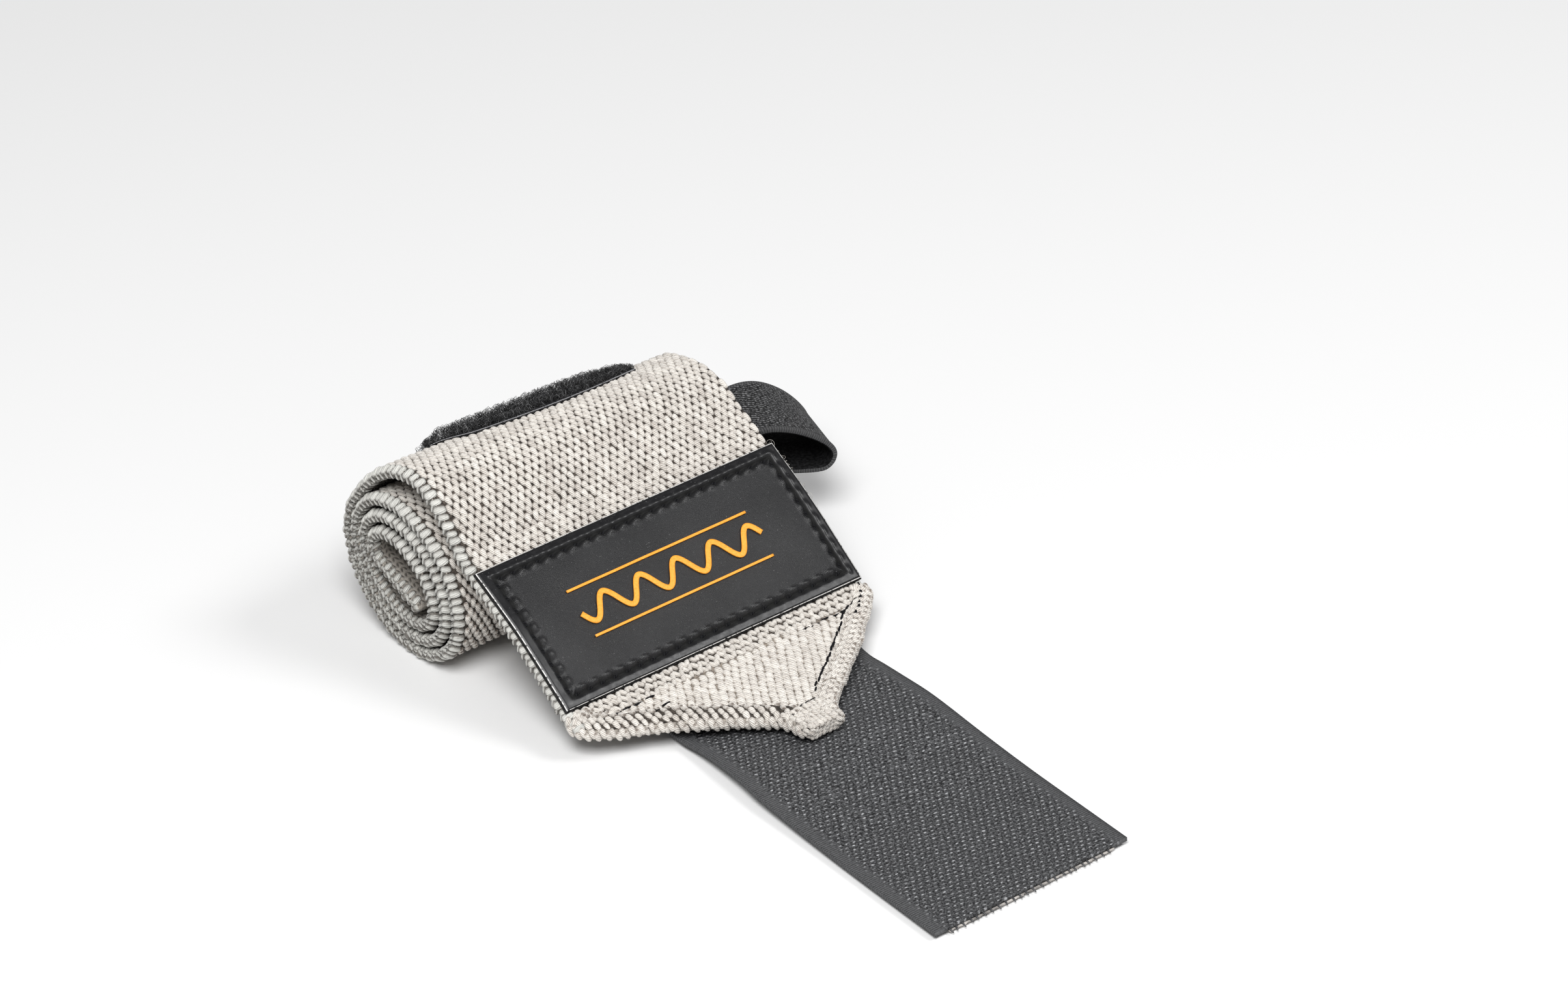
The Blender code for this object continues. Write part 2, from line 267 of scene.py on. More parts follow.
class Value:
    """A number that a material's nodes work out, so that finishes are plain arithmetic."""

    def __init__(self, finish, socket):
        self.finish, self.socket = finish, socket

    def __add__(self, other):
        return self.finish.math("ADD", self, other)

    def __sub__(self, other):
        return self.finish.math("SUBTRACT", self, other)

    def __rsub__(self, other):
        return self.finish.math("SUBTRACT", other, self)

    def __mul__(self, other):
        return self.finish.math("MULTIPLY", self, other)

    def __truediv__(self, other):
        return self.finish.math("DIVIDE", self, other)

    def __pow__(self, other):
        return self.finish.math("POWER", self, other)

    def __abs__(self):
        return self.finish.math("ABSOLUTE", self)


class Finish:
    """A procedural material being put together: short calls that add and link nodes."""

    def __init__(self, name, **settings):
        self.material = bpy.data.materials.new(name)
        self.material.use_nodes = True
        self.nodes = self.material.node_tree.nodes
        self.links = self.material.node_tree.links
        self.shader = self.nodes["Principled BSDF"]
        for socket, value in settings.items():
            self.shader.inputs[socket.replace("_", " ")].default_value = value

    def node(self, kind, **settings):
        made = self.nodes.new(kind)
        for key, value in settings.items():
            setattr(made, key, value)
        return made

    def put(self, value, socket):
        """Links a worked out value to a socket, or sets a plain number or colour there."""
        if isinstance(value, Value):
            self.links.new(value.socket, socket)
        else:
            socket.default_value = (*value, 1.0) if isinstance(value, tuple) else value

    def math(self, operation, *values):
        made = self.node("ShaderNodeMath", operation=operation)
        for value, socket in zip(values, made.inputs):
            self.put(value, socket)
        return Value(self, made.outputs[0])

    def fold(self, value, top):
        """Rises to a top and falls back to 0, over and over."""
        return self.math("PINGPONG", value, top)

    def cloth_map(self):
        """Across and along of the piece's own map, in metres."""
        source = self.node("ShaderNodeTexCoord")
        split = self.node("ShaderNodeSeparateXYZ")
        self.links.new(source.outputs["UV"], split.inputs[0])
        return Value(self, split.outputs[0]), Value(self, split.outputs[1])

    def tone(self):
        """The tone that each small copy of a mesh carries."""
        return Value(self, self.node("ShaderNodeAttribute", attribute_name="tone").outputs["Fac"])

    def noise(self, scale, detail=2.0, rough=0.5):
        """Noise on the object's own coordinates; scale in lumps per metre."""
        source = self.node("ShaderNodeTexCoord")
        made = self.node("ShaderNodeTexNoise")
        self.links.new(source.outputs["Object"], made.inputs["Vector"])
        made.inputs["Scale"].default_value = scale
        made.inputs["Detail"].default_value = detail
        made.inputs["Roughness"].default_value = rough
        return Value(self, made.outputs["Fac"])

    def mix(self, share, first, second):
        """A colour between two colours."""
        made = self.node("ShaderNodeMix", data_type="RGBA")
        self.put(share, made.inputs["Factor"])
        self.put(first, made.inputs["A"])
        self.put(second, made.inputs["B"])
        return Value(self, made.outputs["Result"])

    def spread(self, value, low, high, to_low=0.0, to_high=1.0):
        """A number stretched from one range to another and held inside it."""
        made = self.node("ShaderNodeMapRange")
        for socket, number in zip(made.inputs, (value, low, high, to_low, to_high)):
            self.put(number, socket)
        return Value(self, made.outputs["Result"])

    def color(self, value):
        self.put(value, self.shader.inputs["Base Color"])

    def bump(self, height, depth_mm):
        made = self.node("ShaderNodeBump")
        made.inputs["Distance"].default_value = depth_mm * MM
        made.inputs["Strength"].default_value = 1.0
        self.put(height, made.inputs["Height"])
        last = self.shader.inputs["Normal"]
        if last.links:
            self.links.new(last.links[0].from_socket, made.inputs["Normal"])
        self.links.new(made.outputs["Normal"], last)


# the knit's staggered grid: one column across and one row along the band
COLUMN = 1.85
ROW = 1.47


def gap_shade_finish(name, dark, light):
    """Painted shade for the depth of the knit: a dark ground, seen only through the gaps between the face
    stitches.
    """
    finish = Finish(name, Roughness=1.0)
    grain = finish.spread(finish.noise(1800.0), 0.35, 0.65)
    finish.color(finish.mix(grain, dark, light))
    finish.bump(grain, 0.2)
    return finish.material


def back_finish():
    """Inner face of the band: zigzag stitches of twisted yarn in rows across the cloth."""
    finish = Finish("knit_back", Roughness=0.95, Sheen_Weight=0.2)
    across, along = finish.cloth_map()
    column = across / (COLUMN * MM)
    zigzag = finish.fold(column, 0.5)
    slant = zigzag * 1.7 + along / (ROW * MM)
    height = finish.fold(column + 0.25, 0.25) * 1.2 + finish.fold(slant, 0.5)
    ply = finish.fold(zigzag * 5.0 + slant * 3.0, 0.5)
    grain = finish.spread(finish.noise(1500.0), 0.35, 0.7)
    # painted shade: the colour is darker in the low parts of the zigzag and along the lines between plies
    share = ply * 0.4 + finish.spread(height, 0.06, 0.42) * 0.8 - grain * 0.15
    finish.color(finish.mix(share, (0.045, 0.037, 0.031), (0.44, 0.40, 0.35)))
    finish.bump(height, 0.45)
    finish.bump(ply, 0.12)
    return finish.material


GROUND_THICK = 1.7
GROUND_STEP = 1.5
GROUND_SHARES = 47
GROUND_INSET = 0.7
HEM_SWELL = 1.2
LEFT_HEM_WIDE = 6.0
RIGHT_HEM_WIDE = 4.2
# the hem's swelling starts this far past the patch and runs in over this much of the band
HEM_START = 2.0
HEM_RUN_IN = 5.0
POINT_FRONT = 54.0

point_rows = band_run > PATCH_LOW_RUN + 1.0
left_hem_line = band_left[point_rows][:, :2]
right_hem_line = band_right[point_rows][:, :2]


def off_line(spots, line):
    """Distance in the plan from spots to a line of points."""
    start, step = line[:-1], np.diff(line, axis=0)
    away = spots[..., None, :] - start
    share = np.clip((away * step).sum(-1) / (step ** 2).sum(-1), 0.0, 1.0)
    return np.linalg.norm(away - share[..., None] * step, axis=-1).min(-1)


ground_runs = np.arange(0.0, BAND_LENGTH, GROUND_STEP)
ground_runs[-1] = BAND_LENGTH
left_edge, right_edge = edges_at(ground_runs)
widths = np.linalg.norm(right_edge - left_edge, axis=1)[:, None]
run_grid = np.repeat(ground_runs[:, None], GROUND_SHARES, axis=1)
across_grid = GROUND_INSET + (widths - 2 * GROUND_INSET) * np.linspace(0.0, 1.0, GROUND_SHARES)
edge_step = (right_edge - left_edge)[:, None, :2]
plan = left_edge[:, None, :2] + edge_step * (across_grid / widths)[..., None]
left_reach = off_line(plan, left_hem_line)
hem_reach = np.minimum(left_reach / LEFT_HEM_WIDE, off_line(plan, right_hem_line) / RIGHT_HEM_WIDE)
swell = np.sqrt(np.clip(1.0 - (2 * hem_reach - 1.0) ** 2, 0.0, 1.0))
swell *= np.clip((run_grid - PATCH_LOW_RUN - HEM_START) / HEM_RUN_IN, 0.0, 1.0)
points, _, _, ground_out = on_band(run_grid, across_grid, 0.0)
band_ground = sheet_object("band_ground", points, across_grid, run_grid)
uneven_wall(band_ground, swell.reshape(-1), GROUND_THICK, GROUND_THICK + HEM_SWELL)
sheet_faces = len(band_ground.data.polygons)
apply_all(band_ground)
for material in (
    # the band's outer face is painted dark: painted shade in the gaps between the face stitches
    gap_shade_finish("knit_gap_shade", (0.018, 0.014, 0.011), (0.095, 0.078, 0.064)),
    back_finish(),
    # the knit of the point is closer, and its gaps are not so deep, so their painted shade is lighter
    gap_shade_finish("point_gap_shade", (0.14, 0.115, 0.095), (0.36, 0.31, 0.26)),
):
    band_ground.data.materials.append(material)
DEPTH, BACK, POINT_DEPTH = range(3)
first_side = np.array([vertex.co for vertex in band_ground.data.vertices[:points.size // 3]])
first_is_outer = ((first_side - points.reshape(-1, 3)) * ground_out.reshape(-1, 3)).sum() > 0
for number, face in enumerate(band_ground.data.polygons):
    on_first = number < sheet_faces
    on_second = sheet_faces <= number < 2 * sheet_faces
    row, column = divmod(number % sheet_faces, GROUND_SHARES - 1)
    in_hem = number < 2 * sheet_faces and left_reach[row, column] < LEFT_HEM_WIDE - 0.5
    in_point = face.center.y < FRONT_ZERO - POINT_FRONT * MM and not in_hem
    if on_first if first_is_outer else on_second:
        face.material_index = POINT_DEPTH if in_point else DEPTH
    else:
        face.material_index = BACK
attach(band_ground, "root")
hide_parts("elastic_band")


# Face of the knit: fat slanting stitches of soft yarn in a staggered grid, with a gap beside
# each where the ground's painted shade shows. They cover the outer turn, the crown, the slope
# down to the patch, and the under face of the flap.
STITCH_HALF = (1.28, 0.74, 0.56)
STITCH_LEAN = math.radians(13.0)
STITCH_DIVE = 0.18
FACE_LIFT = 0.90
KNIT_LIGHT = (0.92, 0.88, 0.815)
KNIT_DARK = (0.20, 0.155, 0.125)
random_face = random.Random(7)


def draws(source, count, columns):
    """Rows of normal random numbers from one of the seeded sources."""
    return np.array([[source.gauss(0, 1) for _ in range(columns)] for _ in range(count)])


def grain_template(segments, rings, taper):
    """One stitch as a closed rounded grain of unit half sizes, long way along X, its front end
    narrower by the taper."""
    bpy.ops.object.select_all(action="DESELECT")
    bpy.ops.mesh.primitive_uv_sphere_add(segments=segments, ring_count=rings, radius=1.0)
    grain = bpy.context.object
    grain.rotation_euler = (0.0, math.pi / 2, 0.0)
    bpy.ops.object.transform_apply(location=False, rotation=True, scale=False)
    mesh = grain.data
    points = np.empty(len(mesh.vertices) * 3)
    mesh.vertices.foreach_get("co", points)
    points = points.reshape(-1, 3)
    # fuller sides than an egg's
    body = np.abs(points[:, 0]) ** 1.3
    round_full = np.sqrt(np.clip(1.0 - np.clip(body, 0, 1) ** 2.6, 0.0, 1.0))
    spread = np.linalg.norm(points[:, 1:], axis=1)
    widen = np.divide(round_full, spread, out=np.ones_like(spread), where=spread > 1e-6)
    narrow = 1.0 - taper * (points[:, 0] * 0.5 + 0.5)
    points[:, 1:] *= (widen * narrow)[:, None]
    faces = [list(face.vertices) for face in mesh.polygons]
    maps = np.empty(len(mesh.loops) * 2)
    mesh.uv_layers.active.data.foreach_get("uv", maps)
    bpy.data.objects.remove(grain)
    return points, faces, maps.reshape(-1, 2)


def lay_copies(name, template, centres, long_ways, outs, halves, tones, material):
    """One mesh of many copies of a template, each turned to its own directions and sized.
    halves are half sizes in millimetres; tones is one number a copy, kept for the finish."""
    points, faces, maps = template
    side_ways = unit(np.cross(outs, long_ways))
    ups = np.cross(long_ways, side_ways)
    axes = np.stack([long_ways, side_ways, ups], 1) * (np.asarray(halves) * MM)[:, :, None]
    spots = np.einsum("pk,nkc->npc", points, axes) + centres[:, None, :]
    spots[..., 2] = np.maximum(spots[..., 2], 0.0)
    count, each = len(centres), len(points)
    all_faces = [[corner + n * each for corner in face] for n in range(count) for face in faces]
    mesh = bpy.data.meshes.new(name)
    mesh.from_pydata(spots.reshape(-1, 3).tolist(), [], all_faces)
    layer = mesh.uv_layers.new(name="UVMap")
    layer.data.foreach_set("uv", np.tile(maps, (count, 1)).reshape(-1))
    tone = mesh.attributes.new("tone", "FLOAT", "POINT")
    tone.data.foreach_set("value", np.repeat(np.asarray(tones, float), each))
    mesh.shade_smooth()
    mesh.update()
    mesh.materials.append(material)
    piece = bpy.data.objects.new(name, mesh)
    bpy.context.scene.collection.objects.link(piece)
    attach(piece, "root")
    return piece


def yarn_finish(name, light, dark, threads, twist, lines, sheen, flank_shade_share, roughness=0.85):
    """Spun yarn: fine threads twisted along each stitch, with broken dark lines of painted shade
    between them, painted shade on the flanks where two lie side by side and at the ends where
    each dives under the next, and a tone that changes from one to the next."""
    finish = Finish(name, Roughness=roughness, Sheen_Weight=sheen, Sheen_Roughness=0.5)
    around, along = finish.cloth_map()
    thread = finish.fold(along * twist + around * threads, 0.5)
    speck = finish.spread(finish.noise(2400.0), 0.35, 0.7)
    # painted shade at each stitch's two ends, where it dives under its neighbour
    ends = finish.spread(finish.fold(along, 0.5), 0.02, 0.24, 0.75, 0.0)
    broken = finish.spread(finish.noise(1300.0), 0.30, 0.62, 0.25, 1.0)
    # painted shade in the broken grooves between the threads
    line = finish.spread(thread, 0.0, 0.24, lines, 0.0) * broken
    # painted shade on the flanks, where stitches lie side by side
    flank_shade = abs(finish.math("SINE", around * (2 * math.pi))) ** 4.0
    share = finish.tone() * 0.26 + ends + speck * 0.18 + line + flank_shade * flank_shade_share
    finish.color(finish.mix(share, light, dark))
    finish.bump(thread, 0.22)
    return finish.material


knit_yarn = yarn_finish("knit_yarn", KNIT_LIGHT, KNIT_DARK, 8.0, 5.0, 0.85, 0.3, 0.16)
PAD_LEFT = 14.0
PAD_WIDTH = 50.0
PAD_TURN_START = 0.30
PAD_FRONT_BACK_OF_CROWN = 6.4


def run_of_turn(turn):
    """The run where the roll's centre line has a number of turns in from the crown."""
    front, up = spiral_point(turn)
    outer = band_run > CROWN_RUN - 150.0
    away = np.hypot(band_middle[:, 1] - front, band_middle[:, 2] - up) + np.where(outer, 0, 1e3)
    return float(band_run[np.argmin(away)])


PAD_FROM_RUN = run_of_turn(PAD_TURN_START)
PAD_TO_RUN = CROWN_RUN - PAD_FRONT_BACK_OF_CROWN
PAD_LONG = PAD_TO_RUN - PAD_FROM_RUN


def under_pad(run, across):
    """True where the loop pad hides the knit."""
    inside = PAD_LEFT - ROLL_LEFT + 2.5 < across < PAD_LEFT - ROLL_LEFT + PAD_WIDTH - 2.5
    return inside and PAD_FROM_RUN + 2.5 < run < PAD_TO_RUN - 3.0


LEFT_EDGE_WIDE = 2.5
RIGHT_EDGE_WIDE = 1.0


def lay_face(name, run_from, run_to, template, covered=None, side=1.0):
    """Lays the face stitches over a stretch of the band, each a little uneven."""
    spots = []
    across_to = BAND_WIDTH - RIGHT_EDGE_WIDE
    for row in range(math.ceil(run_from / ROW), math.floor(run_to / ROW) + 1):
        stagger = COLUMN / 2 if row % 2 else 0.0
        for column in range(math.ceil(LEFT_EDGE_WIDE / COLUMN) - 1, math.floor(across_to / COLUMN) + 1):
            across = column * COLUMN + stagger
            if LEFT_EDGE_WIDE <= across <= across_to and not (covered and covered(row * ROW, across)):
                spots.append((row * ROW, across))
    run, across = np.array(spots).T
    wobble = draws(random_face, len(spots), 6)
    centres, along, wide, out = on_band(run + 0.08 * wobble[:, 0], across + 0.07 * wobble[:, 1],
                                        side * (FACE_LIFT + 0.05 * wobble[:, 2]))
    lean = STITCH_LEAN + 0.09 * wobble[:, 3:4]
    # the lower end of each stitch dives under the next one
    long_ways = unit(along * np.cos(lean) + wide * np.sin(lean) - out * STITCH_DIVE * side)
    halves = np.array([STITCH_HALF]) * (1 + 0.05 * wobble[:, 4:5])
    tones = np.clip(0.4 + 0.3 * wobble[:, 5], 0, 1)
    return lay_copies(name, template, centres, long_ways, out * side, halves, tones,
                      knit_yarn)


OUTER_TURN_RUN = CROWN_RUN - 136.0
CROWN_FROM_RUN = PAD_TO_RUN - 4.0
crown_stitches = lay_face("crown_stitches", CROWN_FROM_RUN, PATCH_TOP_RUN + 1.5,
                          grain_template(10, 7, 0.25), under_pad)
roll_stitches = lay_face("roll_stitches", OUTER_TURN_RUN, CROWN_FROM_RUN,
                         grain_template(6, 5, 0.25), under_pad)
flap_back_stitches = lay_face("flap_back_stitches", CROWN_RUN + 4.0, PATCH_TOP_RUN + 8.0,
                              grain_template(6, 5, 0.25), side=-1.0)


# Selvages: the two long edges are bound with a smoother, greyer thread. It lies in fat beads
# round the outer corner of the edge, big and small by turns, with a row of thin hooked loops
# and one of back beads behind. At the right the beads lie lower, behind the knit.
BEAD_PITCH = 1.66
SMALL_BEAD = 0.78
RIGHT_LOWERED = 0.75
RIGHT_FAT = 0.75
SELVAGE_ROWS = [
    # from the edge, lift, share of the pitch, way: along, inward, out; half sizes
    (0.95, 0.58, 0.0, (0.20, 0.86, 0.50), (1.38, 1.00, 0.84)),
    (0.30, -0.35, 0.40, (0.62, -0.10, -0.80), (0.98, 0.44, 0.44)),
    (1.05, -0.86, 0.5, (0.25, 0.95, -0.20), (1.20, 0.72, 0.50)),
]
# the selvage beads get heavy painted shade on their flanks, where they lie side by side
selvage_yarn = yarn_finish("selvage_yarn", (0.74, 0.735, 0.69), (0.15, 0.138, 0.122),
                           11.0, 2.5, 0.16, 0.15, 0.80, 0.55)
random_edge = random.Random(11)


def lay_selvage(name, template, right_side):
    """Beads, hooked loops and back beads of one edge, from the core to the point."""
    steps = np.arange(1.0, PATCH_LOW_RUN + 4.0, BEAD_PITCH)
    wobble = draws(random_edge, len(steps), 5)
    big = np.where(np.arange(len(steps)) % 2 == 0, 1.0, SMALL_BEAD)
    parts = []
    for number, (from_edge, lift, shift, way, half) in enumerate(SELVAGE_ROWS):
        if right_side and number == 0:
            from_edge = from_edge + 0.15
            lift = lift - np.where(steps > PATCH_TOP_RUN + 3.0, 0.0, RIGHT_LOWERED)
        run = steps + shift * BEAD_PITCH + 0.07 * wobble[:, 0]
        across = BAND_WIDTH - from_edge if right_side else from_edge
        centres, along, wide, out = on_band(run, across, lift + 0.04 * wobble[:, 1])
        inward = -wide if right_side else wide
        long_ways = unit(along * (way[0] + 0.10 * wobble[:, 4:5]) + inward * way[1] + out * way[2])
        outs = out - inward if way[1] > 0 else -inward
        scale = big if half[0] > 1.0 else np.ones(len(steps))
        halves = np.stack([half[0] * (0.4 + 0.6 * scale), half[1] * scale, half[2] * scale], 1)
        halves *= (RIGHT_FAT if right_side else 1.0) * (1 + 0.04 * wobble[:, 2:3])
        parts.append((centres, long_ways, outs, halves))
    centres, long_ways, outs, halves = (np.concatenate(group) for group in zip(*parts))
    tones = np.clip(0.3 + 0.25 * np.tile(wobble[:, 3], len(SELVAGE_ROWS)), 0, 1)
    return lay_copies(name, template, centres, long_ways, outs, halves, tones,
                      selvage_yarn)


left_selvage = lay_selvage("left_selvage", grain_template(10, 7, 0.1), right_side=False)
right_selvage = lay_selvage("right_selvage", grain_template(7, 6, 0.1), right_side=True)


# Point: below the patch the band's end is folded to a point. A strip of coarse stitches
# follows the patch, then a flat triangle of finer knit between two rolled hems. The left hem
# is stretched open, the right one is dense, and their cut ends stand out as two knobs.
random_point = random.Random(23)
flap_rows = band_run > CROWN_RUN
UPWARD = (0, 0, 1)


def plan_ways(ways):
    """Directions of the plan, along and front, as directions of the frame."""
    return unit(np.asarray(ways, float) * (1.0, -1.0, 1.0))


def lay_plan(name, stitches, template, material=knit_yarn):
    """Lays stitches over the point: rows of a spot, a long way, an outward way and half sizes.
    A spot is along, front and the height over the middle surface."""
    spots, ways, outs, halves = (np.array(group, float) for group in zip(*stitches))
    wobble = draws(random_point, len(spots), 5)
    spots += wobble[:, :3] * (0.10, 0.10, 0.04)
    up = np.interp(spots[:, 1], band_middle[flap_rows, 1], band_middle[flap_rows, 2])
    spots[:, 2] += up
    tones = np.clip(0.3 + 0.25 * wobble[:, 3], 0, 1)
    return lay_copies(name, template, place(spots), plan_ways(ways), plan_ways(outs),
                      halves * (1 + 0.06 * wobble[:, 4:5]), tones, material)


def row_ends(front):
    """Along of the two edges where they pass a front distance."""
    return [np.interp(front, edge[point_rows, 1], edge[point_rows, 0]) for edge in (band_left, band_right)]


STRIP_FRONTS = (50.8, 52.2, 53.6)
STRIP_COUNT = 68
STRIP_PITCH = 1.14
STRIP_HALF = (1.05, 0.62, 0.60)
strip = []
for number, front in enumerate(STRIP_FRONTS):
    for step in range(STRIP_COUNT):
        along_mm = 1.4 + step * STRIP_PITCH + number * 0.4
        if along_mm < 76.0 - number * 1.6:
            spot = (along_mm, front + 0.12 * random_point.gauss(0, 1), 1.0)
            lean = 0.62 if (step + number) % 2 else -0.50
            strip.append((spot, (lean, 1.0, -0.15), UPWARD, STRIP_HALF))
strip_stitches = lay_plan("strip_stitches", strip, grain_template(10, 7, 0.2))

# the triangle's own staggered grid: its first spot and two steps, along and front
TRIANGLE_ZERO = np.array([38.0, 54.0])
TRIANGLE_STEP = np.array([2.07, -0.10])
TRIANGLE_WAY = np.array([-1.01, 1.56])
TRIANGLE_FRONTS = (54.4, 79.0)
TRIANGLE_LEAN = 0.62
TRIANGLE_HALF = (1.30, 0.99, 0.56)
triangle = []
for column in range(-30, 40):
    for row in range(-20, 40):
        spot = TRIANGLE_ZERO + TRIANGLE_STEP * column + TRIANGLE_WAY * row
        left_end, right_end = row_ends(spot[1])
        if TRIANGLE_FRONTS[0] < spot[1] < TRIANGLE_FRONTS[1] and left_end < spot[0] < right_end:
            off_left = off_line(spot, left_hem_line) > LEFT_HEM_WIDE - 1.0
            if off_left and off_line(spot, right_hem_line) > RIGHT_HEM_WIDE - 1.2:
                way = (TRIANGLE_WAY[0] + TRIANGLE_LEAN, TRIANGLE_WAY[1], -0.20)
                triangle.append(((*spot, 0.80), way, UPWARD, TRIANGLE_HALF))
triangle_stitches = lay_plan("triangle_stitches", triangle, grain_template(10, 7, 0.2))

HEM_LIFT = 1.42


def along_hem(line, wide, pitch, angles, way, half, side):
    """Stitches of a rolled hem in rows side by side: angles go round the roll, 0 at the top
    and 90 at the outer side, and way is the stitch's part along the hem and round it."""
    length = run_of(line)
    stitches = []
    for number, angle in enumerate(angles):
        turn = math.radians(angle)
        for step in range(int(length[-1] / pitch)):
            reach = (step + 0.5 * (number % 2) + 0.3) * pitch
            start, ahead = points_at(reach, length, line), points_at(reach + 1.0, length, line)
            along_line = (ahead - start) / max(np.linalg.norm(ahead - start), 1e-6)
            inward = np.array([-along_line[1], along_line[0]]) * side
            spot = start + inward * wide / 2 * (1 - math.sin(turn))
            out = np.array([*(-inward * math.sin(turn)), math.cos(turn)])
            tangent = np.array([*(-inward * math.cos(turn)), -math.sin(turn)])
            long_way = np.array([*along_line, 0.0]) * way[0] + tangent * way[1]
            stitches.append(((*spot, HEM_LIFT * math.cos(turn)), long_way, out, half))
    return stitches


left_hem = lay_plan("left_hem", along_hem(
    left_hem_line, LEFT_HEM_WIDE, 2.0, (-66.0, -30.0, 4.0, 38.0, 72.0, 106.0),
    (0.42, 0.92), (1.24, 0.73, 0.62), -1.0), grain_template(10, 7, 0.2))
right_hem = lay_plan("right_hem", along_hem(
    right_hem_line, RIGHT_HEM_WIDE, 1.9, (-66.0, -28.0, 8.0, 44.0, 78.0, 110.0),
    (-0.45, 0.90), (1.22, 0.84, 0.50), 1.0), grain_template(10, 7, 0.1))

# the hems' cut ends: two small knots, each a ball of short stitches
KNOBS = [(36.2, 82.9), (42.7, 83.1)]
KNOB_COUNT = 26
KNOB_UP = 0.3
KNOB_SIZE = (1.50, 1.35, 1.45)
knobs = []
for along_mm, front in KNOBS:
    for number in range(KNOB_COUNT):
        height = 1 - 2 * (number + 0.5) / KNOB_COUNT
        turn = number * math.pi * (3 - math.sqrt(5))
        ring = math.sqrt(1 - height ** 2)
        out = np.array([ring * math.cos(turn), ring * math.sin(turn), height])
        spot = np.array([along_mm, front, KNOB_UP]) + out * KNOB_SIZE
        knobs.append((spot, np.cross(out, (0.3, 0.2, 1.0)), out, (0.80, 0.54, 0.42)))
# the turned-up end between the hems: rows of short fat stitches side by side
for front in (77.4, 79.0, 80.6, 82.0, 83.4):
    left_end, right_end = row_ends(front)
    for along_mm in np.arange(left_end + 1.2, right_end - 1.0, 1.08):
        knobs.append(((along_mm, front, 1.35), (0.2, 1.0, -0.2), UPWARD, (1.0, 0.60, 0.62)))
left_end, right_end = row_ends(83.9)
for along_mm in np.arange(left_end + 0.5, right_end - 0.3, 0.95):
    for lift in (0.75, -0.1, -0.95):
        knobs.append(((along_mm, 83.85, lift), (0.3, 0.1, 1.0), (0, 1, 0), (0.72, 0.58, 0.42)))
knob_stitches = lay_plan("knob_stitches", knobs, grain_template(10, 7, 0.1))


# Sewing thread: the right hem and the strip are held by a black thread, seen as a line of
# short sunk stitches from the patch's right corner to the tip, with loose ones on the left.
thread_finish = Finish("sewing_thread", Roughness=0.85, Specular_IOR_Level=0.06)
ply_around, ply_along = thread_finish.cloth_map()
ply = thread_finish.fold(ply_along * 3.0 + ply_around, 0.25)
ply_share = thread_finish.spread(ply, 0.0, 0.25)
thread_finish.color(thread_finish.mix(ply_share, (0.003, 0.003, 0.0035), (0.018, 0.018, 0.02)))
thread_finish.bump(ply, 0.15)

# the right hem's inner side, from its own line moved inwards
hem_step = unit(np.gradient(right_hem_line, axis=0))
hem_inward = np.stack([-hem_step[:, 1], hem_step[:, 0]], 1)
hem_inside = right_hem_line + hem_inward * (RIGHT_HEM_WIDE + 0.45)
hem_inside = hem_inside[(hem_inside[:, 1] > 56.0) & (right_hem_line[:, 1] < 78.0)]
THREAD_LINES = [
    # name, corners: along, front; pitch, share of it, lift, half thickness
    ("right_seam", [(76.2, 50.2), (75.0, 53.0), *hem_inside[::12]], 1.9, 0.98, 1.35, 0.24),
    ("corner_seam", [(76.4, 50.4), (75.0, 53.4), (72.4, 55.6), (69.4, 57.6)], 1.7, 1.0, 1.55, 0.40),
    ("strip_seam_right", [(72.6, 55.2), (66.0, 55.1), (57.0, 55.2)], 2.6, 0.92, 1.15, 0.20),
    ("strip_seam_left", [(4.4, 55.0), (9.0, 54.8), (15.0, 54.6), (21.0, 54.4)], 3.0, 0.85, 1.20, 0.24),
    ("tip_thread", [(34.4, 78.4), (38.0, 77.0), (42.0, 76.0), (44.0, 75.8)], 1.5, 1.1, 1.70, 0.11),
    ("loose_stitches", [(14.6, 59.0), (18.2, 58.2), (21.8, 57.6)], 3.2, 0.85, 1.20, 0.26),
]
for name, corners, pitch, share, lift, thick in THREAD_LINES:
    corners = np.array(corners)
    length = run_of(corners)
    stitches = []
    for step in range(int(length[-1] / pitch)):
        reach = (step + 0.5) * pitch
        start, ahead = points_at(reach - 0.2, length, corners), points_at(reach + 0.2, length, corners)
        way = unit(ahead - start)
        long_way = (way[0] + 0.1 * random_point.gauss(0, 1), way[1], -0.05)
        stitches.append(((*(start + ahead) / 2, lift), long_way, UPWARD, (pitch * share / 2, thick, thick)))
    lay_plan(name, stitches, grain_template(8, 8, 0.0), thread_finish.material)


# Label patch: a rectangle of soft black leather across the flap, sewn down all round with a
# thick black thread that pulls the leather in at every stitch. Its pale core shows as a thin
# line at the cut, over a black backing. Its print is a plain wave between two lines, in amber.
PATCH_WIDTH = 77.0
PATCH_TOP_LIFT = 2.50
PATCH_WALL = 0.80
PATCH_GRID = 0.50
SEAM_GRID = 0.24
SEAM_REACH = 2.6
SEW_INSET = 2.8
SEW_PITCH = 3.3
patch_left = (BAND_WIDTH - PATCH_WIDTH) / 2
patch_long = PATCH_LOW_RUN - PATCH_TOP_RUN
middle_run = (PATCH_TOP_RUN + PATCH_LOW_RUN) / 2
sew_half = (PATCH_WIDTH / 2 - SEW_INSET, patch_long / 2 - SEW_INSET)
sew_counts = [round(2 * half / SEW_PITCH) for half in sew_half]


def hump(off, centre, reach):
    """A smooth bump of height 1 about a distance from the seam; outside is positive."""
    return np.exp(-((off - centre) / reach) ** 2)


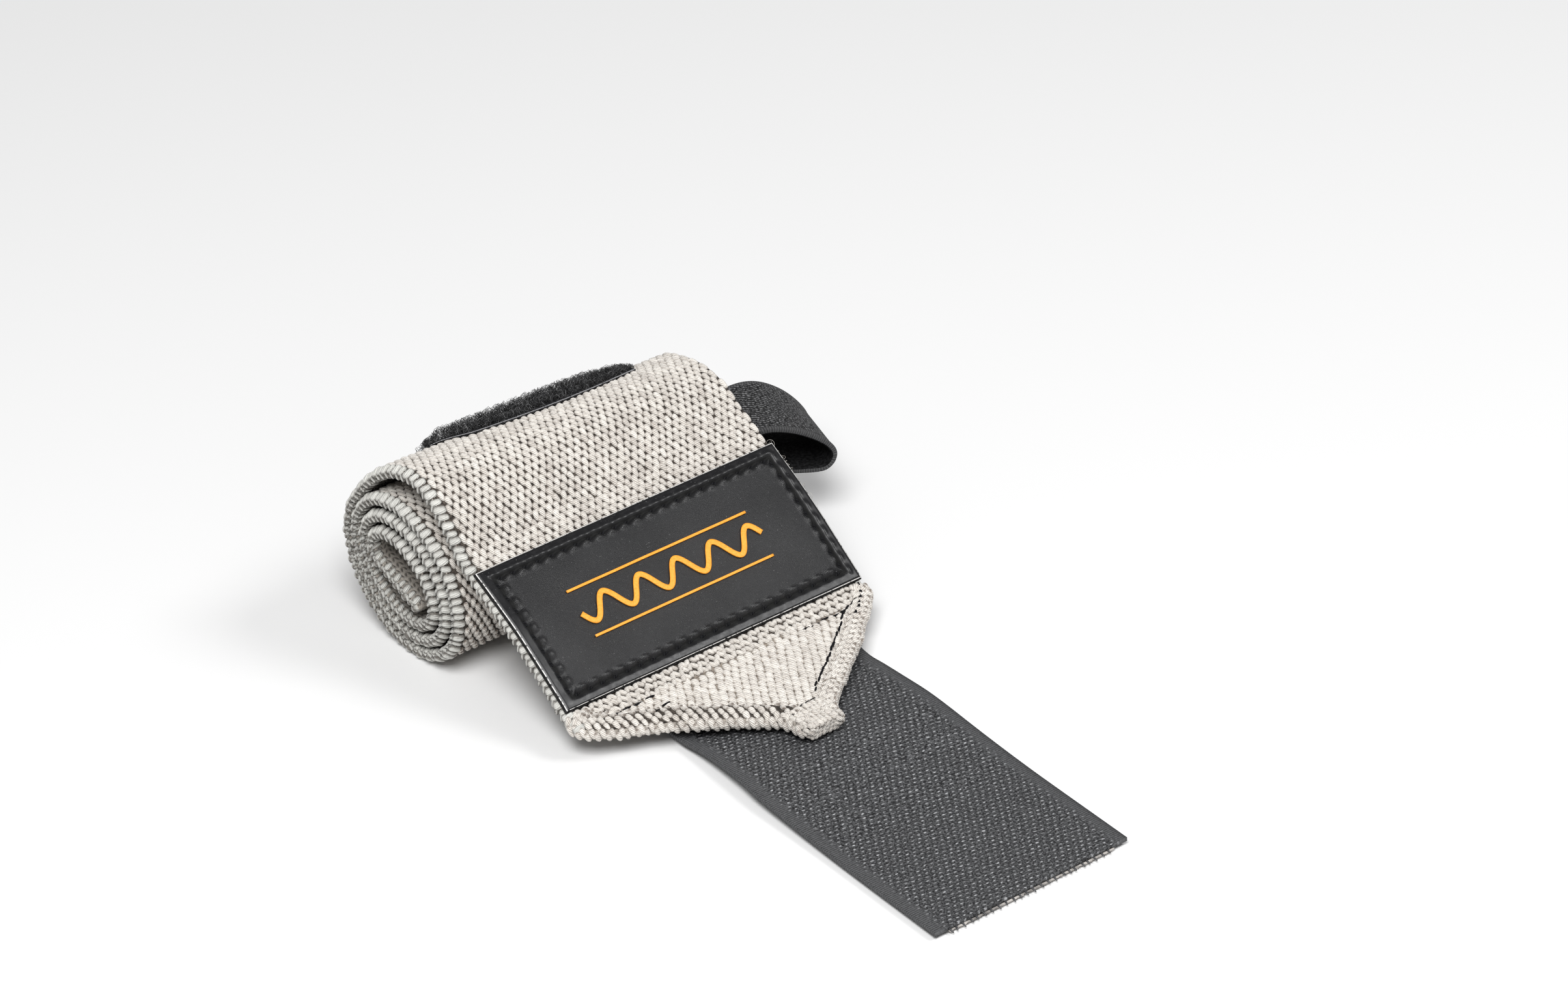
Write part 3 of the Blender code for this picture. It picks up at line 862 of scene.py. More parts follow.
def patch_height(across, run):
    """Relief of the leather in millimetres: grooves and dimples at the seam, puckers beside
    it, a padded middle and edges that turn down."""
    x = np.abs(across - BAND_WIDTH / 2)
    y = np.abs(run - middle_run)
    off_x, off_y = x - sew_half[0], y - sew_half[1]
    corner = np.hypot(np.maximum(off_x, 0), np.maximum(off_y, 0))
    off = np.where((off_x > 0) & (off_y > 0), corner, np.maximum(off_x, off_y))
    along_side = off_x > off_y
    pitch = np.where(along_side, 2 * sew_half[1] / sew_counts[1], 2 * sew_half[0] / sew_counts[0])
    reach = np.where(along_side, off_y, off_x)
    # 1 in the middle of a stitch, 0 at the holes between them
    held = 0.5 - 0.5 * np.cos(2 * np.pi * np.minimum(reach, 0) / pitch)
    groove = -0.62 * hump(off, 0.0, 0.36) * (0.45 + 0.55 * held) - 0.62 * hump(off, -0.50, 0.60) * held
    # the leather puckers inside the seam, and outside it along the top and the right
    outside = np.where(along_side, across > BAND_WIDTH / 2, run < middle_run)
    pucker = (0.58 * hump(off, -1.05, 0.55) + 0.24 * hump(off, 0.95, 0.50) * outside) * (1 - held)
    middle = 0.30 * (1 - np.exp(-np.maximum(-off, 0) / 2.2))
    turned = -0.30 * hump(np.minimum(PATCH_WIDTH / 2 - x, patch_long / 2 - y), 0.0, 0.35)
    waves = 0.05 * np.sin(across * 0.31 + run * 0.17) * np.sin(run * 0.42 - across * 0.11)
    return groove + pucker + middle + turned + waves


def seam_grid(low, high):
    """Places from one edge to the other, closer together beside the seams."""
    near = np.arange(0.0, SEW_INSET + SEAM_REACH, SEAM_GRID)
    far = high - low - near
    middle = np.linspace(near[-1], far[-1], round((far[-1] - near[-1]) / PATCH_GRID))
    return low + np.concatenate([near[:-1], middle, far[-2::-1]])


def band_sheet(name, run, across, lift, wall_mm):
    """A sheet laid on the band, its upper face at a height, with a wall below it."""
    piece = sheet_object(name, on_band(run, across, lift)[0], across, run)
    wall = piece.modifiers.new("wall", "SOLIDIFY")
    wall.thickness = wall_mm * MM
    wall.offset = 1.0
    apply_all(piece)
    return piece


patch_run, patch_across = np.meshgrid(seam_grid(PATCH_TOP_RUN, PATCH_LOW_RUN),
                                      seam_grid(patch_left, patch_left + PATCH_WIDTH), indexing="ij")
patch = band_sheet("leather_patch", patch_run, patch_across,
                   PATCH_TOP_LIFT + patch_height(patch_across, patch_run), PATCH_WALL)
leather = Finish("patch_leather", Roughness=0.40, Specular_IOR_Level=0.42)
leather_across, leather_run = leather.cloth_map()
from_middle = abs(leather_across - BAND_WIDTH / 2 * MM), abs(leather_run - middle_run * MM)
off_seam = leather.math("MAXIMUM", from_middle[0] - sew_half[0] * MM, from_middle[1] - sew_half[1] * MM)
from_cut = leather.math("MINIMUM", PATCH_WIDTH / 2 * MM - from_middle[0],
                        patch_long / 2 * MM - from_middle[1])
grain_fine = leather.noise(5200.0, 3.0, 0.6)
grain_broad = leather.noise(900.0, 2.0)
dust = leather.spread(leather.noise(3300.0, 1.0), 0.72, 0.80)
worn = leather.spread(leather.noise(60.0), 0.35, 0.7)
in_margin = leather.spread(off_seam, -0.3 * MM, 0.5 * MM)
inside = 1.0 - in_margin
in_groove = leather.spread(abs(off_seam), 0.26 * MM, 0.66 * MM, 1.0, 0.0)
tint = leather.mix(worn, (0.012, 0.012, 0.013), (0.020, 0.020, 0.021))
tint = leather.mix(in_margin, tint, (0.005, 0.005, 0.006))
tint = leather.mix(dust * 0.5, tint, (0.25, 0.25, 0.25))
# the seam's groove is painted near black: painted shade in the groove
tint = leather.mix(in_groove, tint, (0.002, 0.002, 0.002))
# the pale core of the leather shows as a hairline along the cut
core = leather.spread(from_cut, 0.02 * MM, 0.04 * MM)
core = core * leather.spread(from_cut, 0.17 * MM, 0.26 * MM, 1.0, 0.0)
core = core * leather.spread(leather.noise(1400.0, 2.0), 0.34, 0.48)
leather.color(leather.mix(core, tint, (0.80, 0.79, 0.77)))
# the margin is glossier, the puckers inside the seam are pulled smooth, the groove is dull
pulled = leather.spread(off_seam, -2.4 * MM, -1.3 * MM) * inside
gloss = leather.spread(grain_broad, 0.3, 0.7, 0.36, 0.46) + in_margin * -0.07 + pulled * -0.17
leather.put(gloss + in_groove * 0.55, leather.shader.inputs["Roughness"])
leather.bump(grain_broad * inside, 0.02)
leather.bump(grain_fine * inside, 0.11)
patch.data.materials.append(leather.material)
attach(patch, "root")
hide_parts("label_patch")

# backing: a thin black felt, a hair wider than the leather
BACKING_PROUD = 0.14
BACKING_LIFT = 1.75
BACKING_WALL = 0.30
backing_run, backing_across = np.meshgrid(
    np.linspace(PATCH_TOP_RUN - BACKING_PROUD, PATCH_LOW_RUN + BACKING_PROUD, 40),
    np.linspace(patch_left - BACKING_PROUD, patch_left + PATCH_WIDTH + BACKING_PROUD, 30), indexing="ij")
backing = band_sheet("patch_backing", backing_run, backing_across, BACKING_LIFT, BACKING_WALL)
felt = Finish("patch_backing", Roughness=0.95, Specular_IOR_Level=0.2)
flock = felt.spread(felt.noise(1900.0, 3.0), 0.35, 0.65)
felt.color(felt.mix(flock, (0.006, 0.006, 0.006), (0.035, 0.034, 0.033)))
felt.bump(flock, 0.08)
backing.data.materials.append(felt.material)
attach(backing, "root")

# sewing round the patch, each stitch slanting a little inwards
STITCH_INWARD = 0.18
STITCH_SLANT = -0.20
SEW_LIFT = 0.10
SEW_HALF = (1.50, 0.33, 0.26)
sew_spots, sew_ways = [], []
for side in (-1, 1):
    for number in range(sew_counts[0]):
        reach = -sew_half[0] + (number + 0.5) * 2 * sew_half[0] / sew_counts[0]
        sew_spots.append((side * (sew_half[1] - STITCH_INWARD), reach))
        sew_ways.append((side * STITCH_SLANT, 1.0))
    for number in range(sew_counts[1]):
        reach = -sew_half[1] + (number + 0.5) * 2 * sew_half[1] / sew_counts[1]
        sew_spots.append((reach, side * (sew_half[0] - STITCH_INWARD)))
        sew_ways.append((1.0, side * STITCH_SLANT))
sew_run, sew_across = (np.array(sew_spots) + (middle_run, BAND_WIDTH / 2)).T
sew_ways = np.array(sew_ways) + 0.05 * draws(random_point, len(sew_ways), 2)
centres, along, wide, out = on_band(
    sew_run, sew_across, PATCH_TOP_LIFT + patch_height(sew_across, sew_run) + SEW_LIFT)
patch_sewing = lay_copies(
    "patch_sewing", grain_template(8, 8, 0.0), centres,
    unit(along * sew_ways[:, :1] + wide * sew_ways[:, 1:]), out, [SEW_HALF] * len(centres), np.zeros(len(centres)), thread_finish.material)

# print: strokes of thick amber ink, thin raised bands that follow the leather
PRINT_LEFT, PRINT_RIGHT = 15.0, 62.0
WAVE_COUNT = 5
WAVE_HALF = 2.5
WAVE_WIDE = 1.15
LINE_LEVEL = 5.3
LINE_WIDE = 0.5
INK_HIGH = 0.16


def ink_band(path, wide_mm):
    """One stroke along a path of points, each given as across and run from the middle."""
    way = unit(np.gradient(path, axis=0))
    aside = np.stack([-way[:, 1], way[:, 0]], 1)
    shares = np.linspace(-wide_mm / 2, wide_mm / 2, 5)
    spots = path[:, None, :] + shares[None, :, None] * aside[:, None, :]
    across, run = spots[..., 0], middle_run + spots[..., 1]
    lift = PATCH_TOP_LIFT + patch_height(across, run) + INK_HIGH
    return band_sheet("stroke", run, across, lift, INK_HIGH * 2)


print_steps = np.linspace(PRINT_LEFT, PRINT_RIGHT, 260)
wave_turn = (print_steps - PRINT_LEFT) / (PRINT_RIGHT - PRINT_LEFT) * 2 * math.pi * WAVE_COUNT
strokes = [ink_band(np.stack([print_steps, WAVE_HALF * np.sin(wave_turn)], 1), WAVE_WIDE)]
for level in (-LINE_LEVEL, LINE_LEVEL):
    straight = np.stack([print_steps[::4], np.full(len(print_steps[::4]), level)], 1)
    strokes.append(ink_band(straight, LINE_WIDE))
bpy.ops.object.select_all(action="DESELECT")
for stroke in strokes:
    stroke.select_set(True)
bpy.context.view_layer.objects.active = strokes[0]
bpy.ops.object.join()
amber_print = bpy.context.object
amber_print.name = amber_print.data.name = "amber_print"
ink = Finish("amber_ink", Roughness=0.5)
ink_grain = ink.spread(ink.noise(2600.0), 0.3, 0.7)
ink.color(ink.mix(ink_grain, (0.86, 0.31, 0.018), (1.0, 0.43, 0.045)))
ink.bump(ink_grain, 0.03)
amber_print.data.materials.append(ink.material)
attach(amber_print, "root")


# Loop pad: a rectangle of brushed black loop pile sewn across the back of the outer turn. The
# pile is a deep mat of fine crimped fibre loops on a thin knitted ground, right up to a thin
# grey thread along its front edge.
PAD_TOP_LIFT = 2.10
PAD_WALL = 0.60
PAD_BOW = 2.2
PAD_MARGIN = 0.2
FIBRE_COUNT = 2300
FRONT_FIBRE_COUNT = 4500
FRONT_SHARE = 0.80
FIBRE_THIN = 0.06
PILE_LOW, PILE_HIGH = -0.2, 2.1
# the pile is combed down over this much of the right end
COMBED_WIDTH = 14.0
# the front corner at the left is rounded off
PAD_CORNER = 6.0
PAD_CORNER_SHARE = 0.15
random_pile = random.Random(5)


def pad_spot(share_run, share_across):
    """Run and across of a place on the pad given in shares of its length and width."""
    to_front = np.clip((share_run - 0.6) / 0.4, 0.0, 1.0)
    bow = PAD_BOW * (1 - (2 * share_across - 1) ** 2)
    cut_off = PAD_CORNER * np.clip(1 - share_across / PAD_CORNER_SHARE, 0.0, 1.0) ** 2
    run = PAD_FROM_RUN + PAD_LONG * share_run + (bow - cut_off) * to_front
    left_along = np.interp(run, band_run, band_left[:, 0])
    return run, PAD_LEFT + PAD_WIDTH * share_across - left_along


share_run, share_across = np.meshgrid(np.linspace(0, 1, 60), np.linspace(0, 1, 72), indexing="ij")
pad_run, pad_across = pad_spot(share_run, share_across)
pad_edge = np.minimum(np.minimum(share_run, 1 - share_run) * PAD_LONG,
                      np.minimum(share_across, 1 - share_across) * PAD_WIDTH)
loop_pad = band_sheet("loop_pad_ground", pad_run, pad_across,
                      PAD_TOP_LIFT - 0.35 * np.exp(-pad_edge / 0.6), PAD_WALL)
pile = Finish("loop_pile", Roughness=0.9, Specular_IOR_Level=0.2)
curl = pile.noise(1500.0, 3.0, 0.7)
pile.color(pile.mix(pile.spread(curl, 0.35, 0.75), (0.006, 0.006, 0.007), (0.06, 0.06, 0.063)))
pile.bump(curl, 0.45)
loop_pad.data.materials.append(pile.material)
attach(loop_pad, "root")
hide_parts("loop_pad")


def ring_template(segments, thin):
    """A thin closed ring of unit radius, lying in the XY plane."""
    bpy.ops.object.select_all(action="DESELECT")
    bpy.ops.mesh.primitive_torus_add(major_radius=1.0, minor_radius=thin,
                                     major_segments=segments, minor_segments=3)
    ring = bpy.context.object
    points = np.array([vertex.co for vertex in ring.data.vertices])
    faces = [list(face.vertices) for face in ring.data.polygons]
    maps = np.array([corner.uv for corner in ring.data.uv_layers.active.data])
    bpy.data.objects.remove(ring)
    return points, faces, maps


def lay_rings(name, template, runs, across, lifts, radii, material):
    """Fibre loops: thin rings set upright on the band, turned at random, half sunk."""
    count = len(runs)
    centres, along, wide, out = on_band(runs, across, lifts)
    turn = np.array([random_pile.uniform(0, math.pi) for _ in range(count)])[:, None]
    tip = 0.5 * draws(random_pile, count, 1)
    long_ways = along * np.cos(turn) + wide * np.sin(turn)
    ring_axis = -along * np.sin(turn) + wide * np.cos(turn) + out * tip
    ring_axis -= long_ways * (ring_axis * long_ways).sum(1, keepdims=True)
    tones = [random_pile.random() for _ in range(count)]
    return lay_copies(name, template, centres, long_ways, unit(ring_axis),
                      radii[:, None] * (1.0, 0.9, 1.2), tones, material)


fibre = Finish("pile_fibre", Roughness=0.45)
# a few fibres are painted pale grey among the black ones: painted highlights on the black pile
fibre.color(fibre.mix(fibre.tone() ** 4.0, (0.004, 0.004, 0.0045), (0.20, 0.20, 0.205)))
fibre.bump(fibre.noise(4000.0), 0.02)
margin_share = 1 - PAD_MARGIN / PAD_LONG


def lay_pile(name, count, from_share):
    """Fibre loops over the pad from a share of its length to its front edge, lower at its rim."""
    spots = [(random_pile.uniform(from_share, margin_share), random_pile.uniform(0.004, 0.996))
             for _ in range(count)]
    share_run, share_across = np.array(spots).T
    runs, across = pad_spot(share_run, share_across)
    radii = np.abs(0.36 + 0.15 * draws(random_pile, count, 1)[:, 0]) + 0.12
    to_rim = np.minimum(np.minimum(share_across, 1 - share_across) * PAD_WIDTH,
                        (margin_share - share_run) * PAD_LONG)
    high = PILE_HIGH * (0.35 + 0.65 * np.clip(to_rim / 3.0, 0.0, 1.0))
    high *= 0.30 + 0.70 * np.clip((1 - share_across) * PAD_WIDTH / COMBED_WIDTH, 0.0, 1.0)
    rise = np.array([random_pile.random() for _ in range(count)])
    return lay_rings(name, ring_template(5, FIBRE_THIN), runs, across,
                     PAD_TOP_LIFT + PILE_LOW + (high - PILE_LOW) * rise, radii, fibre.material)


pile_fibres = lay_pile("pile_fibres", FIBRE_COUNT, 0.005)
front_fibres = lay_pile("front_fibres", FRONT_FIBRE_COUNT, FRONT_SHARE)

# the grey thread along the front margin
MARGIN_STITCHES = 150
MARGIN_LEAN = 0.25
thread_run, thread_across = pad_spot(margin_share, np.linspace(0.01, 0.99, MARGIN_STITCHES))
thread_run = thread_run + 0.05 * draws(random_pile, MARGIN_STITCHES, 1)[:, 0]
centres, along, wide, out = on_band(thread_run, thread_across, PAD_TOP_LIFT - 0.30)
margin_finish = Finish("margin_thread", Roughness=0.5)
margin_finish.color(margin_finish.mix(margin_finish.noise(1500.0), (0.10, 0.10, 0.11), (0.36, 0.36, 0.37)))
margin_thread = lay_copies(
    "margin_thread", grain_template(6, 6, 0.0), centres + along * MARGIN_LEAN * MM,
    wide + along * MARGIN_LEAN, out, [(0.34, 0.10, 0.10)] * MARGIN_STITCHES,
    np.zeros(MARGIN_STITCHES), margin_finish.material)


# Hook strap: a 50 mm tape of charcoal nylon weave with smooth ribbed edges. It is sewn under
# the flap and runs out over the table. Its upper side is a plain back with little floats whose
# glints are painted in as bright highlights; stiff hooks cover the lower side, and a row of them
# stands out past the cut end.
STRAP_WIDTH = 50.0
STRAP_WALL = 0.85
STRAP_SEWN_FROM = 24.0
STRAP_SEWN_LIFT = -1.65
STRAP_ROWS = [
    # centre along, front, top, width
    (43.0, 53.4, 4.2, 50.0),
    (42.9, 56.4, 3.2, 50.0),
    (42.7, 60.0, 2.4, 49.8),
    (42.5, 65.0, 1.9, 49.2),
    (42.3, 70.0, 2.4, 48.8),
    (41.9, 76.0, 2.85, 48.8),
    (41.4, 84.0, 3.05, 49.4),
    (40.8, 91.0, 2.8, 50.0),
    (40.3, 99.0, 2.4, 50.0),
    (39.8, 108.0, 2.0, 50.0),
    (39.3, 117.0, 1.75, 50.0),
    (38.9, 124.0, 1.7, 50.0),
    (38.5, 131.0, 1.7, 50.0),
    (37.6, STRAP_END_FRONT, 1.7, 50.0),
]
strap_shares = np.linspace(-0.5, 0.5, 41)
sewn_run, sewn_across = np.meshgrid(
    np.arange(run_at(STRAP_SEWN_FROM, CROWN_RUN), PATCH_LOW_RUN, 1.5),
    STRAP_ROWS[0][0] - FLAP_LEFT + STRAP_WIDTH * strap_shares, indexing="ij")
lying = np.array(curve_through(STRAP_ROWS, 1.2))
lying_across = lying[:, None, 0] + lying[:, None, 3] * strap_shares
lying_front, lying_top, _ = np.broadcast_arrays(lying[:, None, 1], lying[:, None, 2], lying_across)
strap_points = np.concatenate([on_band(sewn_run, sewn_across, STRAP_SEWN_LIFT)[0],
                               place(np.stack([lying_across, lying_front, lying_top], -1))])
strap_run = run_of(strap_points[:, len(strap_shares) // 2]) / MM
strap_run_grid = np.repeat(strap_run[:, None], len(strap_shares), axis=1)
strap_across_grid = np.repeat(STRAP_WIDTH * (strap_shares[None, :] + 0.5), len(strap_run), axis=0)
strap = sheet_object("hook_tape", strap_points, strap_across_grid, strap_run_grid)
strap_wall = strap.modifiers.new("wall", "SOLIDIFY")
strap_wall.thickness = STRAP_WALL * MM
strap_wall.offset = 1.0
apply_all(strap)

tape = Finish("hook_tape", Roughness=0.55, Specular_IOR_Level=0.25)
tape_across, tape_along = tape.cloth_map()
# floats lie in a slanting grid: its two steps, across and along the tape, in millimetres
FLOAT_STEP_ONE = (-0.69, 1.09)
FLOAT_STEP_TWO = (1.53, 0.33)
RIB_PITCH = 0.55
float_cell = (FLOAT_STEP_ONE[0] * FLOAT_STEP_TWO[1] - FLOAT_STEP_ONE[1] * FLOAT_STEP_TWO[0]) * MM
wander = tape.noise(420.0, 2.0)


def tape_wave(across_share, along_share):
    """Rises from 0 to 1 and back once a cell, along one of the grid's two steps."""
    count = tape_along * (along_share / float_cell) + tape_across * (across_share / float_cell)
    return tape.math("COSINE", (wander * 0.5 + count) * (2 * math.pi)) * 0.5 + 0.5


float_height = tape_wave(FLOAT_STEP_TWO[1], -FLOAT_STEP_TWO[0]) ** 2.2
float_height = float_height * tape_wave(-FLOAT_STEP_ONE[1], FLOAT_STEP_ONE[0]) ** 1.3
tape_edge = STRAP_WIDTH / 2 * MM - abs(tape_across - STRAP_WIDTH / 2 * MM)
inner = tape.spread(tape_edge, 1.8 * MM, 3.6 * MM)
ribs = tape.math("SINE", tape_along * (2 * math.pi / (RIB_PITCH * MM)))
speckle = tape.noise(2300.0, 3.0, 0.75)
chance = tape.spread(tape.noise(1100.0, 3.0, 0.7), 0.42, 0.68, 0.14, 0.85)
# painted highlights: the floats' glints are painted into the colour, brighter where the broad noise allows
painted_glint = tape.spread(float_height, 0.25, 0.80) * chance
weave_share = tape.spread(speckle, 0.42, 0.70) * 0.24 + painted_glint
rib_share = tape.spread(speckle, 0.35, 0.7) * 0.09 + ribs * 0.025 + 0.07
share = weave_share * inner + rib_share * (1.0 - inner)
tape.color(tape.mix(share, (0.010, 0.010, 0.011), (0.62, 0.63, 0.65)))
tape.bump(float_height * inner, 0.30)
tape.bump(ribs * (1.0 - inner), 0.06)
tape.bump(speckle, 0.14)
strap.data.materials.append(tape.material)
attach(strap, "root")
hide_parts("hook_strap")

# hooks under the tape, and those of the last row past the cut end
HOOK_PITCH = 1.8
FIELD_PITCH = 2.4
HOOK_BARE_EDGE = 3.6
HOOKS_FROM_FRONT = 62.0
hook_reach = STRAP_WIDTH / 2 - HOOK_BARE_EDGE
hook_rows = []
for row_front in np.arange(HOOKS_FROM_FRONT, STRAP_END_FRONT - 0.2, FIELD_PITCH):
    centre, top = (np.interp(row_front, lying[:, 1], lying[:, column]) for column in (0, 2))
    for step in np.arange(-hook_reach, hook_reach, FIELD_PITCH):
        way = (0.25 * random_pile.gauss(0, 1), 0.7, -0.8)
        hook_rows.append(((centre + step, row_front, top - STRAP_WALL - 0.28), way, (0.48, 0.17, 0.17)))
end_along, end_front, end_top, _ = STRAP_ROWS[-1]
for step in np.arange(-hook_reach, hook_reach, HOOK_PITCH):
    spot = (end_along + step + random_pile.gauss(0, 0.2), end_front + 0.40, end_top - 0.75)
    way = (0.15 * random_pile.gauss(0, 1), 1.0, -0.35)
    hook_rows.append((spot, way, (0.72 + 0.1 * random_pile.gauss(0, 1), 0.27, 0.24)))
hook_spots, hook_ways, hook_halves = (np.array(group) for group in zip(*hook_rows))
hook_finish = Finish("hook_nylon", Roughness=0.35)
hook_finish.color(hook_finish.mix(hook_finish.noise(900.0), (0.02, 0.02, 0.022), (0.07, 0.07, 0.075)))
hooks = lay_copies("hooks", grain_template(6, 5, 0.3), place(hook_spots), plan_ways(hook_ways),
                   np.tile([[0.0, 0.0, 1.0]], (len(hook_spots), 1)), hook_halves,
                   np.zeros(len(hook_spots)), hook_finish.material)

# the pale layer that locks the hooks, seen as a thin ragged line at the cut
LOCK_HALF = 21.5
LOCK_FRONTS = (-1.5, -0.5, 0.32)
LOCK_WALL = 0.34
lock_along, lock_front = np.meshgrid(np.linspace(end_along - LOCK_HALF, end_along + LOCK_HALF, 90),
                                     end_front + np.array(LOCK_FRONTS))
lock_front[-1] += 0.10 * draws(random_pile, lock_front.shape[1], 1)[:, 0]
lock_up = np.full(lock_front.shape, end_top - STRAP_WALL + 0.02)
lock_layer = sheet_object("hook_lock", place(np.stack([lock_along, lock_front, lock_up], -1)),
                          lock_along, lock_front)
lock_wall = lock_layer.modifiers.new("wall", "SOLIDIFY")
lock_wall.thickness = LOCK_WALL * MM
lock_wall.offset = 1.0
apply_all(lock_layer)
lock_finish = Finish("hook_lock", Roughness=0.6)
lock_share = lock_finish.spread(lock_finish.noise(500.0), 0.35, 0.65)
lock_finish.color(lock_finish.mix(lock_share, (0.16, 0.15, 0.14), (0.50, 0.47, 0.44)))
lock_layer.data.materials.append(lock_finish.material)
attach(lock_layer, "root")


# Thumb loop: a 20 mm black elastic tape with rounded, ribbed edges. Both its ends are sewn to
# the band's inner end in the core; the loop stands out at the right and hangs over.
LOOP_WIDTH = 20.0
LOOP_WALL = 1.0
LOOP_RIM = 0.35
LOOP_ROWS = [
    # along, front, up, width, lean and rise of the tape in degrees
    (60.0, -1.4, 19.5, 11.0, 0, 24),
    (75.0, -1.3, 19.5, 11.5, 2, 23),
    (80.0, 0.2, 21.2, 15.0, 12, 10),
    (86.0, 3.4, 24.6, 18.5, 20, 3),
    (91.0, 5.3, 24.3, 20.0, 22, 1),
    (96.0, 7.1, 21.7, 20.0, 22, -1),
    (99.8, 8.7, 18.2, 20.0, 22, -5),
    (101.4, 9.4, 14.9, 20.0, 22, -7),
    (99.6, 8.8, 12.5, 20.0, 22, -5),
    (94.6, 6.6, 13.2, 19.0, 22, 0),
    (88.0, 3.4, 14.8, 17.0, 16, 8),
    (80.0, 0.0, 16.3, 14.0, 10, 16),
    (75.0, -2.0, 17.3, 11.5, 2, 23),
    (60.0, -2.1, 17.5, 11.0, 0, 24),
]
# share of the half width, share of the rim's extra thickness
LOOP_STATIONS = [(0.0, 0.1), (0.02, 0.75), (0.05, 1.0), (0.08, 0.75), (0.11, 0.1), (0.25, 0.0),
                 (0.4, 0.0), (0.6, 0.0), (0.8, 0.0), (1.0, 0.0)]
half_shares, rim_shares = (list(group) for group in zip(*LOOP_STATIONS))
across_shares = np.array([share / 2 for share in half_shares]
                         + [1 - share / 2 for share in half_shares[-2::-1]])
rim_shares += rim_shares[-2::-1]
loop_table = np.array(curve_through(LOOP_ROWS, 1.2))
yaw, pitch = np.radians(loop_table[:, 4]), np.radians(loop_table[:, 5])
to_front = np.stack([-np.sin(yaw) * np.cos(pitch), -np.cos(yaw) * np.cos(pitch), -np.sin(pitch)], -1)
loop_centres = place(loop_table[:, :3])
loop_spread = (across_shares - 0.5) * loop_table[:, 3:4] * MM
loop_points = loop_centres[:, None] + to_front[:, None] * loop_spread[..., None]
loop_run = run_of(loop_centres) / MM
loop_run_grid = np.repeat(loop_run[:, None], len(across_shares), axis=1)
loop_across_grid = np.repeat(LOOP_WIDTH * across_shares[None, :], len(loop_run), axis=0)
thumb_loop = sheet_object("thumb_loop_tape", loop_points, loop_across_grid, loop_run_grid)

elastic = Finish("loop_tape", Roughness=0.75, Specular_IOR_Level=0.2)
loop_across, loop_along = elastic.cloth_map()
loop_edge = LOOP_WIDTH / 2 * MM - abs(loop_across - LOOP_WIDTH / 2 * MM)
rim = elastic.spread(loop_edge, 1.35 * MM, 0.95 * MM)
cord_turn = loop_along * (-0.80 / MM) + loop_across / (0.95 * MM) + elastic.noise(700.0, 2.0) * 0.9
cords = elastic.fold(cord_turn, 0.5)
picks = elastic.fold(loop_along / (0.85 * MM), 0.5)
loop_speck = elastic.noise(2100.0, 3.0, 0.7)
weave = elastic.spread(cords, 0.06, 0.40) * elastic.spread(picks, 0.0, 0.5, 0.45, 1.0)
weave = weave * elastic.spread(loop_speck, 0.42, 0.64, 0.02, 1.3)
rim_ribs = elastic.fold(loop_along / (RIB_PITCH * MM), 0.5)
tone_share = weave * (1.0 - rim) + (rim_ribs * 0.45 + 0.12) * rim
elastic.color(elastic.mix(tone_share, (0.006, 0.006, 0.0065), (0.24, 0.24, 0.245)))
elastic.bump(cords + picks, 0.14)
elastic.bump(rim_ribs * rim, 0.15)
# the inner face is plain, and painted darker: painted shade inside the loop
lining = Finish("loop_lining", Roughness=0.9, Specular_IOR_Level=0.1)
lint = lining.spread(lining.noise(1700.0, 3.0), 0.40, 0.75)
lining.color(lining.mix(lint, (0.002, 0.002, 0.0022), (0.02, 0.02, 0.021)))
lining.bump(lint, 0.10)
thumb_loop.data.materials.append(elastic.material)
thumb_loop.data.materials.append(lining.material)
loop_wall = uneven_wall(thumb_loop, rim_shares * len(loop_run), LOOP_WALL, LOOP_WALL + LOOP_RIM)
loop_wall.material_offset = 1
smoother = thumb_loop.modifiers.new("smoother", "SUBSURF")
smoother.levels = smoother.render_levels = 1
apply_all(thumb_loop)
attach(thumb_loop, "root")
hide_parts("thumb_loop")


# Stray fibres: a few ends of yarn stand off the knit, most of them by the patch's right edge.
STRAY_COUNT = 34
STRAY_AT_PATCH = 24
stray_runs = np.array([PATCH_TOP_RUN + random_pile.uniform(-3.0, 16.0) if n < STRAY_AT_PATCH
                       else random_pile.uniform(CROWN_RUN - 4.0, PATCH_TOP_RUN) for n in range(STRAY_COUNT)])
stray_across = np.array([BAND_WIDTH - abs(random_pile.gauss(0, 0.4)) if n < STRAY_AT_PATCH
                         else random_pile.uniform(3.0, 75.0) for n in range(STRAY_COUNT)])
stray_radii = np.array([random_pile.uniform(0.4, 1.0) for _ in range(STRAY_COUNT)])
fluff = Finish("stray_fibre", Roughness=0.8)
fluff.color(fluff.mix(fluff.noise(800.0), (0.40, 0.37, 0.33), (0.85, 0.81, 0.75)))
lay_rings("stray_fibres", ring_template(14, 0.025), stray_runs, stray_across, np.full(STRAY_COUNT, 1.2),
          stray_radii, fluff.material)


# Table and light: a pale table top, a large soft light high in front on the left, a weaker
# one from the right front, and an even white surrounding.
bpy.ops.mesh.primitive_plane_add(size=6.0)
floor = bpy.context.object
floor.name = "floor"
floor_finish = Finish("pale_table", Roughness=0.7)
floor_finish.color((0.83, 0.83, 0.83))
floor.data.materials.append(floor_finish.material)

world = bpy.data.worlds.new("studio")
bpy.context.scene.world = world
world.use_nodes = True
world.node_tree.nodes["Background"].inputs["Color"].default_value = (1.0, 1.0, 1.0, 1.0)
world.node_tree.nodes["Background"].inputs["Strength"].default_value = 0.28
bpy.context.scene.view_settings.view_transform = "Standard"


